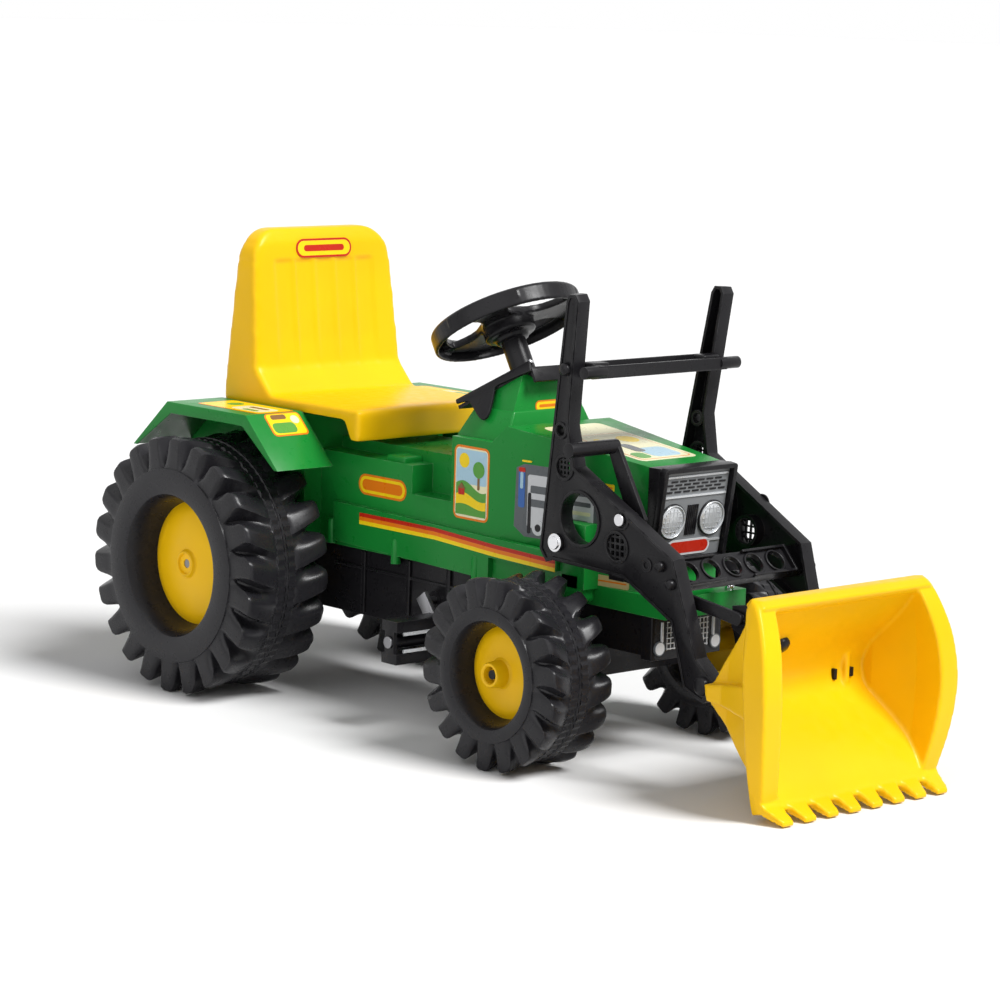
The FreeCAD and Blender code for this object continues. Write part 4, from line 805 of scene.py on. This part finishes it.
ROUNDED = {
    "body_shell": 4.0, "lower_chassis": 3.0, "front_bumper": 3.0,
    "dash_visor": 1.6, "fender_right": 3.0, "fender_left": 3.0,
    "front_axle_beam": 1.5, "loader_arm_right": 2.2, "loader_arm_left": 2.2,
    "loader_top_bar": 1.5, "loader_cross_member": 1.5, "tilt_lever": 2.0,
    "tilt_link": 2.0, "bucket_bracket": 1.2, "pedal_right": 1.6,
    "pedal_left": 1.6, "pedal_crank": 1.0, "pivot_cap_nuts": 0.8,
    "tilt_lever_bolt": 0.8, "seat_bolts": 0.5, "steering_column": 1.0,
    "column_bracket": 1.0,
}


def show_nodes():
    """Rounds the CAD nodes named above and gives every CAD node its material."""
    for node, width in ROUNDED.items():
        made = copy_node(node)
        soft_edges(made, width)
        stand_in(made, node)
    for node, item in frame["nodes"].items():
        item.data.materials.clear()
        item.data.materials.append(LOOKS[SLOT_OF[node]])


show_nodes()


# Loader arms and cross-member

# The arms lean outwards towards their tops
ARM_LEAN = tan(radians(2.73))
ARM_FACE = frame_at((0, -113, 0), (1, 0, 0), (0, -ARM_LEAN, 1))
ARM_OUTLINE = [(148, 274), (200, 600), (205.5, 608.8), (216.5, 608.8), (222, 600), (203, 440), (214, 388),
               (390, 293), (430, 174), (458, 150), (458, 134), (442, 119.6), (408, 133), (386, 213),
               (303, 257), (172, 262), (160, 258)]
# Trim starts this far under the face that carries it
TRIM_FOOT = -1.0
STRIP_INSET = 1.2
STRIP_WIDE = 3.2
STRIP_HIGH = 1.2
# X, Z and radius of the arm's holes, the last of them small; two are filled with a grid
ARM_HOLES = ((223, 322, 33), (290, 295, 17), (195, 385, 13), (189, 432, 7))
GRID_HOLES = ARM_HOLES[1:3]
GRID_LINES = 4
GRID_WIDE = 2.4
GRID_LEVELS = (-4.0, -1.2)
HOLE_LIP = (0.2, 4.2)
HOLE_LIP_HIGH = 2.0
# Other rings by X, Z, inner and outer radius and height, and buttons by X, Z, radius and height
ARM_RINGS = ((344, 280, 4.5, 9.0, 2.4), (299, 331, 9.5, 13.0, 2.0))
ARM_BUTTONS = ((370, 282, 7.0, 10.0), (388, 262, 7.0, 10.0), (199, 512, 8.5, 8.0), (442, 142, 12.0, 9.0))
# Collars on the top bar: half size, and their ends' distances from the middle
COLLAR = 10.5
COLLAR_ENDS = (86.0, 116.0)
CROSS_FACE = tilted((372, 0, 270), 42.0) @ frame_at((0, 0, 0), (0, 1, 0), (0, 0, 1))
CROSS_HOLES = 5
CROSS_PITCH = 39.5
CROSS_RING = (13.2, 16.4)
CROSS_RING_HIGH = 2.5
# The cross-member's border: distances of its ends from the middle, half height, ledges and end posts
BORDER_ENDS = (26, 104)
BORDER_HALF = 20.0
LEDGE_WIDE = 3.5
LEDGE_HIGH = 5.5
POST_HALF = 2.0
POST_HIGH = 6.0


def make_arm_trim():
    """Rims, rings, buttons and grids on the arms' outer faces."""
    trim = [rim_strip(inset(ARM_OUTLINE, STRIP_INSET), STRIP_WIDE, TRIM_FOOT, STRIP_HIGH)]
    for x, z, radius in ARM_HOLES:
        trim.append(ring(x, z, radius + HOLE_LIP[0], radius + HOLE_LIP[1], TRIM_FOOT, HOLE_LIP_HIGH))
    for x, z, inner, outer, high in ARM_RINGS:
        trim.append(ring(x, z, inner, outer, TRIM_FOOT, high))
    for x, z, radius, high in ARM_BUTTONS:
        trim.append(dome(x, z, radius, TRIM_FOOT, high))
    for x, z, radius in GRID_HOLES:
        trim.append(grid_bars(x, z, radius, GRID_LINES, GRID_WIDE, *GRID_LEVELS))
    near = moved(merged(*trim), ARM_FACE)
    piece("arm_trim_right", near, "loader", "black")
    piece("arm_trim_left", mirrored(near), "loader", "black")


def make_bar_collars():
    """Square collars on the top bar beside the arms."""
    low, high = node_box("loader_top_bar")
    middle = (low + high) / 2
    inner, outer = COLLAR_ENDS
    collar = brick(middle - Vector((COLLAR, outer, COLLAR)), middle + Vector((COLLAR, -inner, COLLAR)))
    piece("bar_collars", both(collar), "loader", "black", 3.0)


def make_cross_trim():
    """Rings round the cross-member's holes and a border on each half."""
    rings = []
    for index in range(CROSS_HOLES):
        across = (index - (CROSS_HOLES - 1) / 2) * CROSS_PITCH
        rings.append(ring(across, 0, *CROSS_RING, TRIM_FOOT, CROSS_RING_HIGH))
    piece("cross_rings", moved(merged(*rings), CROSS_FACE), "loader", "black", 0.5)
    edge = BORDER_HALF - LEDGE_WIDE
    for hand, side in HANDS:
        end = side * BORDER_ENDS[1]
        low, high = sorted(side * distance for distance in BORDER_ENDS)
        border = merged(
            brick((end - POST_HALF, -BORDER_HALF, TRIM_FOOT), (end + POST_HALF, BORDER_HALF, POST_HIGH)),
            brick((low, edge, TRIM_FOOT), (high, BORDER_HALF, LEDGE_HIGH)),
            brick((low, -BORDER_HALF, TRIM_FOOT), (high, -edge, LEDGE_HIGH)))
        piece("cross_border_" + hand, moved(border, CROSS_FACE), "loader", "black", 0.8)


make_arm_trim()
make_bar_collars()
make_cross_trim()


# Nose

# X and Z of the mask's face at its foot and top, and X of its back
NOSE_FOOT = (294.0, 264.0)
NOSE_TOP = (312.0, 391.0)
NOSE_BACK = 282.0
NOSE = frame_at((NOSE_FOOT[0], 0, NOSE_FOOT[1]), (0, 1, 0),
                (NOSE_TOP[0] - NOSE_FOOT[0], 0, NOSE_TOP[1] - NOSE_FOOT[1]))
NOSE_HIGH = 128.3
NOSE_HALF = 66.0
NOSE_RECESS = 8.0
NOSE_SUNK = NOSE @ Matrix.Translation((0, 0, -NOSE_RECESS))
MASK_RIM_WIDE = 6.0
MASK_RIM_LEVELS = (-NOSE_RECESS - 1.0, 1.5)
# On the sunk face: the grille plate, and what stands on it from PLATE_FOOT up
PLATE_WIDE = 118.0
PLATE_HIGH = 115.0
PLATE_LEVELS = (-1.0, 1.8)
PLATE_FOOT = 1.4
LINE_UPS = (115.0, 88.5, 26.0)
LINE_WIDE = 114.0
LINE_THICK = 2.6
LINE_TOP = 3.4
LAMP_UP = 56.0
LAMP_OUT = 36.0
LENS = 20.5
LENS_LEVELS = (1.0, 5.0)
LENS_GRID = (LENS * 0.8, 5, 0.9, 3.6, 5.2)
BEZEL = 1.6
BEZEL_TOPS = (5.5, 4.4)
BARS = 6
BAR_PITCH = 3.4
BAR_HALF = 1.0
BAR_ENDS = (36.0, 76.0)
VENT_ROWS = 4
VENT_COLUMNS = 7
VENT_PITCH = 16.0
VENT_UP = 95.0
VENT_STEP = 4.6
VENT_TOP = 2.6
BADGE_UP = 20.0
BADGE_OUT = 3.0
# The picture on the bumper
BUMPER_FACE = frame_at((296, 0, 0), (0, 1, 0), (0, 0, 1))
BUMPER_UP = 172.0
BUMPER_COLUMNS = 12
BUMPER_COLUMN_PITCH = 6.6
BUMPER_ROWS = 6
BUMPER_ROW_FOOT = 155.0
BUMPER_ROW_PITCH = 7.0
BUMPER_LINE = 1.1
BUMPER_LAMP = (51.0, 157.0)


def make_mask():
    """The black mask with its raised border, and the grille plate in it."""
    (foot_x, foot), (top_x, top) = NOSE_FOOT, NOSE_TOP
    core = [(NOSE_BACK, foot), (foot_x - NOSE_RECESS, foot), (top_x - NOSE_RECESS, top), (NOSE_BACK, top)]
    border = rounded(0, NOSE_HIGH / 2, 2 * NOSE_HALF, NOSE_HIGH, 5)
    shell = merged(side_plate(core, -NOSE_HALF, NOSE_HALF),
                   moved(rim_strip(border, MASK_RIM_WIDE, *MASK_RIM_LEVELS), NOSE))
    piece("mask_shell", shell, "chassis", "black", 1.6, hides=("hood_mask",))
    plate = rounded(0, NOSE_HIGH / 2, PLATE_WIDE, PLATE_HIGH, 3)
    panel = moved(slab(plate, *PLATE_LEVELS), NOSE_SUNK)
    piece("grille_plate", panel, "chassis", "grille", hides=("grille_panel",))


def make_grille():
    """Lines, lamps, bars, vents and a plain oval on the grille plate."""
    trim = []
    for level in LINE_UPS:
        trim.append(slab(rounded(0, level, LINE_WIDE, LINE_THICK, 1.2), PLATE_FOOT, LINE_TOP))
    lenses = []
    bars = []
    for index in range(BARS):
        across = (index - (BARS - 1) / 2) * BAR_PITCH
        bars.append(brick((across - BAR_HALF, BAR_ENDS[0], PLATE_FOOT),
                          (across + BAR_HALF, BAR_ENDS[1], LINE_TOP)))
    for side in SIDES:
        lamp = (side * LAMP_OUT, LAMP_UP)
        trim.append(ring(*lamp, LENS, LENS + BEZEL, PLATE_FOOT, BEZEL_TOPS[0]))
        lenses.append(dome(*lamp, LENS, *LENS_LEVELS))
        lenses.append(grid_bars(*lamp, *LENS_GRID))
        bars.append(ring(*lamp, LENS + BEZEL, LENS + 2 * BEZEL, PLATE_FOOT, BEZEL_TOPS[1]))
    for row in range(VENT_ROWS):
        odd = row % 2
        for column in range(VENT_COLUMNS - odd):
            middle = (column - (VENT_COLUMNS - 1 - odd) / 2) * VENT_PITCH
            vent = rounded(middle, VENT_UP + row * VENT_STEP, 12.0, 2.4, 0.6, 2)
            bars.append(slab(vent, PLATE_FOOT, VENT_TOP))
    piece("grille_trim", moved(merged(*trim), NOSE_SUNK), "chassis", "lamp")
    piece("lamp_lenses", moved(merged(*lenses), NOSE_SUNK), "chassis", "lamp", hides=("headlights",))
    piece("grille_bars", moved(merged(*bars), NOSE_SUNK), "chassis", "black")
    decal("grille_strip", NOSE_SUNK @ Matrix.Translation((0, 0, BADGE_OUT)), [
        ("silver", rounded(0, BADGE_UP, 78, 21, 10)),
        ("red", rounded(0, BADGE_UP, 72, 15.5, 7.5)),
    ])


def make_bumper_print():
    """A printed radiator with two lamps on the bumper."""
    layers = [("ink", rounded(0, 170, 118, 54, 5))]
    for index in range(BUMPER_COLUMNS):
        across = (index - (BUMPER_COLUMNS - 1) / 2) * BUMPER_COLUMN_PITCH
        layers.append(("silver", rounded(across, BUMPER_UP, BUMPER_LINE, 38, 0.4, 1)))
    for index in range(BUMPER_ROWS):
        up = BUMPER_ROW_FOOT + index * BUMPER_ROW_PITCH
        layers.append(("silver", rounded(0, up, 76, BUMPER_LINE, 0.4, 1)))
    out, up = BUMPER_LAMP
    for side in SIDES:
        layers.append(("shade", circle(side * out, up, 9.5)))
        layers.append(("silver", circle(side * out, up, 8)))
        layers.append(("silver", rounded(side * 47, 178, 3, 26, 1.2)))
    decal("bumper_print", BUMPER_FACE, layers)


make_mask()
make_grille()
make_bumper_print()


# Body details

# Boxes by their corners on the right side
STEP_BOX = ((-196, -93, 338), (-158, -57, 352))
POST_BOX = ((158, -100, 205), (199, -72, 246))
CAP_FACE = frame_at((0, 0, 244), (1, 0, 0), (0, 1, 0))
# X, Y, radius, foot and top of the chrome caps, measured from that face
CAPS = ((171, -91, 8, 0, 7), (312, -60, 6, -17, -10))
# X and Z of the sill bosses, and their profile
BOSSES = ((-299, 250), (-162, 240), (1, 240))
BOSS_OUT = 101.0
BOSS_SUNK = 34.0
BOSS_PROFILE = ((7, 0), (7, 30), (5, 34), (2, 35))
LINER_OUTLINE = ((-579, 332), (-504, 398.5), (-327, 398.5), (-259, 332))
LINER_SPAN = (135.3, 137.2)
# The flare under the dash pod: back and front X, half width and height at its foot and top
FLARE = ((-66, 34, 84, 393), (-50, 26, 64, 434))
TUB_RIBS = (-236, -142, -60)
TUB_RIB_HALF = 4
TUB_RIB_OUT = (-96.5, -90.0)
TUB_RIB_LEVELS = (126, 212)
TUB_RAIL = ((-300, -95.5, 186), (-30, -90, 190))
# In the column's frame: the visor's skirt, its face, and the ribs under the visor
SKIRT_TOP = ((0, 2), (128, 2), (128, -14), (72, -9))
SKIRT_TONGUE = ((66, -11), (60, -27), (52, -43), (44, -49), (36, -45), (28, -27), (22, -11))
SKIRT_BACK = ((14, -7), (0, -4))
SKIRT_LEVELS = (-3, 1)
SKIRT_FACE = frame_at((-66, -74, 0), (124, 32, 0), (0, 0.35, 1))
VISOR_RIB = ((40, -10), (57, -10), (56, -26))
VISOR_RIBS = (36, 18, 0, -18, -36)
VISOR_RIB_HALF = 2
# The reflectors on a pedal's front and back: share of its height, their own sizes, rise and end inset
REFLECTOR_UPS = (0.3, 0.7)
REFLECTOR_HALF = 2.2
REFLECTOR_THICK = 2.0
REFLECTOR_OUT = 0.6
REFLECTOR_INSET = 12.0


def make_body_details():
    """Small fittings moulded on the body and the tub."""
    piece("body_steps", both(brick(*STEP_BOX)), "chassis", "green", 3.0)
    piece("deck_posts", both(brick(*POST_BOX)), "chassis", "green", 6.0)
    caps = moved(merged(*[dome(*cap) for cap in CAPS]), CAP_FACE)
    piece("deck_caps", both(caps), "chassis", "chrome")
    bosses = []
    for x, z in BOSSES:
        place = Matrix.Translation((x, -BOSS_OUT, z - BOSS_SUNK))
        bosses.append(moved(lathe(BOSS_PROFILE, 24), place))
    piece("sill_bosses", both(merged(*bosses)), "chassis", "green")
    piece("fender_liners", both(side_plate(LINER_OUTLINE, *LINER_SPAN)), "chassis", "green")
    rings = []
    for back, front, half, z in FLARE:
        rings.append([(back, -half, z), (front, -half, z), (front, half, z), (back, half, z)])
    piece("pod_flare", skin(rings, False), "chassis", "green", 3.0)
    ribs = []
    for x in TUB_RIBS:
        ribs.append(brick((x - TUB_RIB_HALF, TUB_RIB_OUT[0], TUB_RIB_LEVELS[0]),
                          (x + TUB_RIB_HALF, TUB_RIB_OUT[1], TUB_RIB_LEVELS[1])))
    ribs.append(brick(*TUB_RAIL))
    piece("tub_ribs", both(merged(*ribs)), "chassis", "black", 1.0)


def make_visor_details():
    """A skirt on each side of the dash visor, and ribs below it."""
    skirt = [*SKIRT_TOP, *curve(SKIRT_TONGUE, 4), *SKIRT_BACK]
    shapes = [both(moved(slab(skirt, *SKIRT_LEVELS), SKIRT_FACE))]
    for out in VISOR_RIBS:
        shapes.append(side_plate(VISOR_RIB, out - VISOR_RIB_HALF, out + VISOR_RIB_HALF))
    piece("visor_trim", moved(merged(*shapes), COLUMN), "chassis", "black", 1.0)


def make_pedal_strips():
    """Reflectors on both faces of each pedal."""
    for hand in ("right", "left"):
        low, high = node_box("pedal_" + hand)
        shapes = []
        for share in REFLECTOR_UPS:
            z = low.z + (high.z - low.z) * share
            for x in (low.x - REFLECTOR_OUT, high.x + REFLECTOR_OUT - REFLECTOR_THICK):
                shapes.append(brick((x, low.y + REFLECTOR_INSET, z - REFLECTOR_HALF),
                                    (x + REFLECTOR_THICK, high.y - REFLECTOR_INSET, z + REFLECTOR_HALF)))
        piece("pedal_reflectors_" + hand, merged(*shapes), hand + "_pedal", "lamp")


make_body_details()
make_visor_details()
make_pedal_strips()


# Stickers: every outline is drawn on a face of the body, in millimetres across and up it

MIRROR = Matrix.Diagonal((1.0, -1.0, 1.0, 1.0))
COWL_SIDE = frame_at((0, -97, 0), (1, 0, 0), (0, 0, 1))
SILL_SIDE = frame_at((0, -105, 0), (1, 0, 0), (0, 0, 1))
HOOD_SIDE = frame_at((20, -97, 0), (262, 33, 0), (0, 0, 1))
HOOD_TOP = frame_at((46, 0, 418), (236, 0, -27), (0, 1, 0))
FENDER_TOP = frame_at((0, 0, 400), (1, 0, 0), (0, 1, 0))
FENDER_SLOPE = frame_at((-327, 0, 400), (71, 0, -69), (0, 1, 0))
SEAT_BACK = frame_at((-432, 0, 447), (0, 1, 0), (-21, 0, 175)) @ Matrix.Translation((0, 0, 0.6))
POD_FRONT = frame_at((26, 0, 392), (0, 1, 0), (-4, 0, 94))
# The stripe along the sill: its top edge, its inks and the depth of each
STRIPE_TOP = ((-236.0, 267.0), (-80.0, 267.0), (40.0, 260.5), (156.0, 257.0))
STRIPE_INKS = ("red", "orange", "sun")
STRIPE_DEEP = 16.0 / len(STRIPE_INKS)
# The engine's outline on the hood's side
ENGINE_OUTLINE = [(42, 288), (44, 366), (58, 372), (118, 372), (150, 352), (182, 330), (184, 286), (150, 276),
                  (60, 276)]
# A hill's outline is this much of a sine wave, from this start
HILL_TURN = pi * 1.6
HILL_START = 0.4
# An oval's ends keep this short a straight stretch on either side of the middle
OVAL_FLAT = 0.1


def hill(left, right, level, swell, foot, steps=14):
    """A rolling hill's outline down to a foot line."""
    outline = [(left, foot)]
    for step in range(steps + 1):
        share = step / steps
        rise = swell * sin(HILL_TURN * share + HILL_START)
        outline.append((left + (right - left) * share, level + rise))
    return outline + [(right, foot)]


def oval(across, up, wide, high):
    """A rectangle with round ends."""
    return rounded(across, up, wide, high, high / 2 - OVAL_FLAT)


def badge(ink, across, up, *sizes):
    """A plain badge of three ovals in each other, the middle one yellow."""
    return [(colour, oval(across, up, *size)) for colour, size in zip((ink, "sun", ink), sizes)]


def side_decals(name, place, layers):
    """The same sticker on the right side and, mirrored, on the left."""
    decal(name + "_right", place, layers)
    decal(name + "_left", MIRROR @ place, layers)


side_decals("cowl_picture", COWL_SIDE, [
    ("orange", rounded(-17.5, 334.5, 69, 99, 9)), ("cream", rounded(-17.5, 334.5, 63, 93, 6.5)),
    ("sky", rounded(-17.5, 356, 60, 46, 4)), ("sun", circle(-32, 364, 10)),
    ("leaf", hill(-47, 12, 330, 7, 291)), ("sun", hill(-47, 12, 316, 5, 291)),
    ("leaf", hill(-47, 12, 303, 3, 291)), ("soil", rounded(-3, 338, 4, 22, 1.5)),
    ("leaf", circle(-3, 354, 11)), ("red", rounded(-36, 322, 12, 9, 1)),
    ("soil", [(-44, 326), (-28, 326), (-36, 334)]),
])
side_decals("panel_oval", COWL_SIDE, badge("orange", -198, 306, (100, 29), (94, 23), (84, 15)))

for order, ink in enumerate(STRIPE_INKS):
    upper = [(x, z - STRIPE_DEEP * order) for x, z in STRIPE_TOP]
    lower = [(x, z - STRIPE_DEEP * (order + 1)) for x, z in reversed(STRIPE_TOP)]
    side_decals("sill_stripe_" + ink, SILL_SIDE, [(ink, upper + lower)])

side_decals("engine_print", HOOD_SIDE, [
    ("shade", ENGINE_OUTLINE), ("silver", rounded(84, 324, 40, 70, 4)),
    ("shade", rounded(84, 340, 30, 10, 2)), ("shade", rounded(84, 322, 30, 10, 2)),
    ("blue", rounded(54, 338, 11, 48, 3)), ("red", rounded(54, 364, 11, 6, 2)),
    ("sky", rounded(54, 350, 5, 22, 2)), ("ink", rounded(68, 308, 5, 54, 2)),
    ("sun", rounded(62, 376, 16, 2.4, 1.1)), ("silver", rounded(146, 316, 58, 48, 5)),
    ("shade", rounded(146, 330, 50, 6, 2)), ("cream", rounded(146, 318, 50, 5, 2)),
    ("shade", rounded(146, 305, 44, 8, 3)), ("silver", circle(84, 290, 10)),
    ("ink", circle(84, 290, 5)),
])
side_decals("deck_label", HOOD_SIDE, [
    ("tan", rounded(206, 235, 62, 15, 4)), ("orange", oval(206, 235, 54, 2)),
])
side_decals("hood_label", HOOD_SIDE, [
    ("sun", rounded(196, 357, 24, 9, 2)), ("orange", oval(196, 357, 18, 2)),
])
decal("hood_picture", HOOD_TOP, [
    ("cream", rounded(116, 0, 190, 104, 10)), ("orange", rounded(140, 0, 130, 92, 8)),
    ("cream", rounded(140, 0, 127, 89, 7)), ("sun", circle(108, 22, 16)),
    ("sky", rounded(176, 12, 44, 50, 10)), ("shade", rounded(150, -10, 40, 18, 8)),
    ("leaf", rounded(186, -30, 26, 22, 8)), ("sun", rounded(120, -28, 44, 10, 4)),
])

for hand, side in HANDS:
    decal("fender_picture_" + hand, FENDER_TOP, [
        ("orange", rounded(-398, side * 180, 138, 68, 9)), ("sun", rounded(-398, side * 180, 132, 62, 7)),
        ("cream", rounded(-372, side * 184, 66, 40, 10)), ("leaf", circle(-430, side * 172, 12)),
        ("soil", rounded(-372, side * 176, 40, 8, 3)), ("leaf", rounded(-366, side * 196, 30, 8, 3)),
    ])
    decal("fender_slope_picture_" + hand, FENDER_SLOPE, [
        ("orange", rounded(21, side * 176, 40, 62, 7)), ("sun", rounded(20.5, side * 176, 36, 57, 5)),
        ("leaf", rounded(27, side * 182, 18, 40, 7)), ("soil", rounded(8, side * 184, 8, 26, 3)),
        ("cream", circle(14, side * 158, 7)),
    ])

decal("seat_oval", SEAT_BACK, badge("red", 0, 167, (102, 27), (96, 21), (74, 9)))
decal("pod_oval", POD_FRONT, badge("orange", 0, 46, (48, 15), (44, 11), (34, 4)))


# Stage

FLOOR_REACH = 60000.0
FLOOR_THICK = 40.0
FLOOR_COLOUR = (0.82, 0.82, 0.82, 1.0)
FLOOR_ROUGH = 0.7
FLOOR_SHEEN = 0.1
# Each sun: name, direction towards it, angle across it in degrees, strength
SUNS = (("key", (0.62, 0.16, 0.77), 22.0, 4.1),
        ("top", (-0.1, -0.3, 0.95), 50.0, 0.3),
        ("fill", (0.25, -0.9, 0.36), 70.0, 1.05))
WHITE = (1.0, 1.0, 1.0, 1.0)
# The world's strength as light on the object, and as the background that is seen
WORLD_STRENGTH = (0.13, 1.0)
# The camera: angles in degrees, the point it looks at, its distance from that and its lens
CAMERA_AROUND = 47.13
CAMERA_ABOVE = 8.6
CAMERA_ROLL = 1.69
CAMERA_TARGET = (-65.4, 0.0, 298.08)
CAMERA_DISTANCE = 4599.65
CAMERA_SENSOR = 36.0
CAMERA_LENS = 121.609
CAMERA_FAR = 200.0


def make_floor():
    corner = (FLOOR_REACH, FLOOR_REACH, 0.0)
    floor = solid(brick((-FLOOR_REACH, -FLOOR_REACH, -FLOOR_THICK), corner), "floor")
    surface = bpy.data.materials.new("pale_floor")
    surface.use_nodes = True
    shader = surface.node_tree.nodes["Principled BSDF"]
    shader.inputs["Base Color"].default_value = FLOOR_COLOUR
    shader.inputs["Roughness"].default_value = FLOOR_ROUGH
    shader.inputs["Specular IOR Level"].default_value = FLOOR_SHEEN
    floor.data.materials.append(surface)


def make_light():
    """Soft suns, and a world that looks white and lights the object only a little."""
    for name, toward, angle, power in SUNS:
        light = bpy.data.lights.new(name, "SUN")
        light.energy = power
        light.angle = radians(angle)
        lamp = linked(light, name)
        lamp.rotation_euler = Vector(toward).to_track_quat("Z", "Y").to_euler()
    world = bpy.data.worlds.new("studio")
    bpy.context.scene.world = world
    world.use_nodes = True
    nodes = world.node_tree.nodes
    links = world.node_tree.links
    sky = nodes["Background"]
    sky.inputs["Color"].default_value = WHITE
    path = nodes.new("ShaderNodeLightPath")
    seen = path.outputs["Is Camera Ray"]
    for ray in ("Is Glossy Ray", "Is Transmission Ray"):
        most = nodes.new("ShaderNodeMath")
        most.operation = "MAXIMUM"
        links.new(seen, most.inputs[0])
        links.new(path.outputs[ray], most.inputs[1])
        seen = most.outputs["Value"]
    links.new(link_range(nodes, links, seen, WHOLE, WORLD_STRENGTH), sky.inputs["Strength"])


def make_camera():
    lens = bpy.data.cameras.new("camera")
    lens.sensor_width = CAMERA_SENSOR
    lens.lens = CAMERA_LENS
    lens.clip_end = CAMERA_FAR
    eye = linked(lens, "camera")
    around, above, roll = (radians(angle) for angle in (CAMERA_AROUND, CAMERA_ABOVE, CAMERA_ROLL))
    level = cos(above)
    back = Vector((sin(around) * level, -cos(around) * level, sin(above)))
    right = Vector((cos(around), sin(around), 0.0))
    up = back.cross(right)
    turned = right * cos(roll) + up * sin(roll)
    upright = up * cos(roll) - right * sin(roll)
    pose = Matrix((turned, upright, back)).transposed().to_4x4()
    pose.translation = (Vector(CAMERA_TARGET) + back * CAMERA_DISTANCE) * MM
    eye.matrix_world = pose
    bpy.context.scene.camera = eye


bpy.context.scene.view_settings.view_transform = "Standard"
make_floor()
make_light()
make_camera()
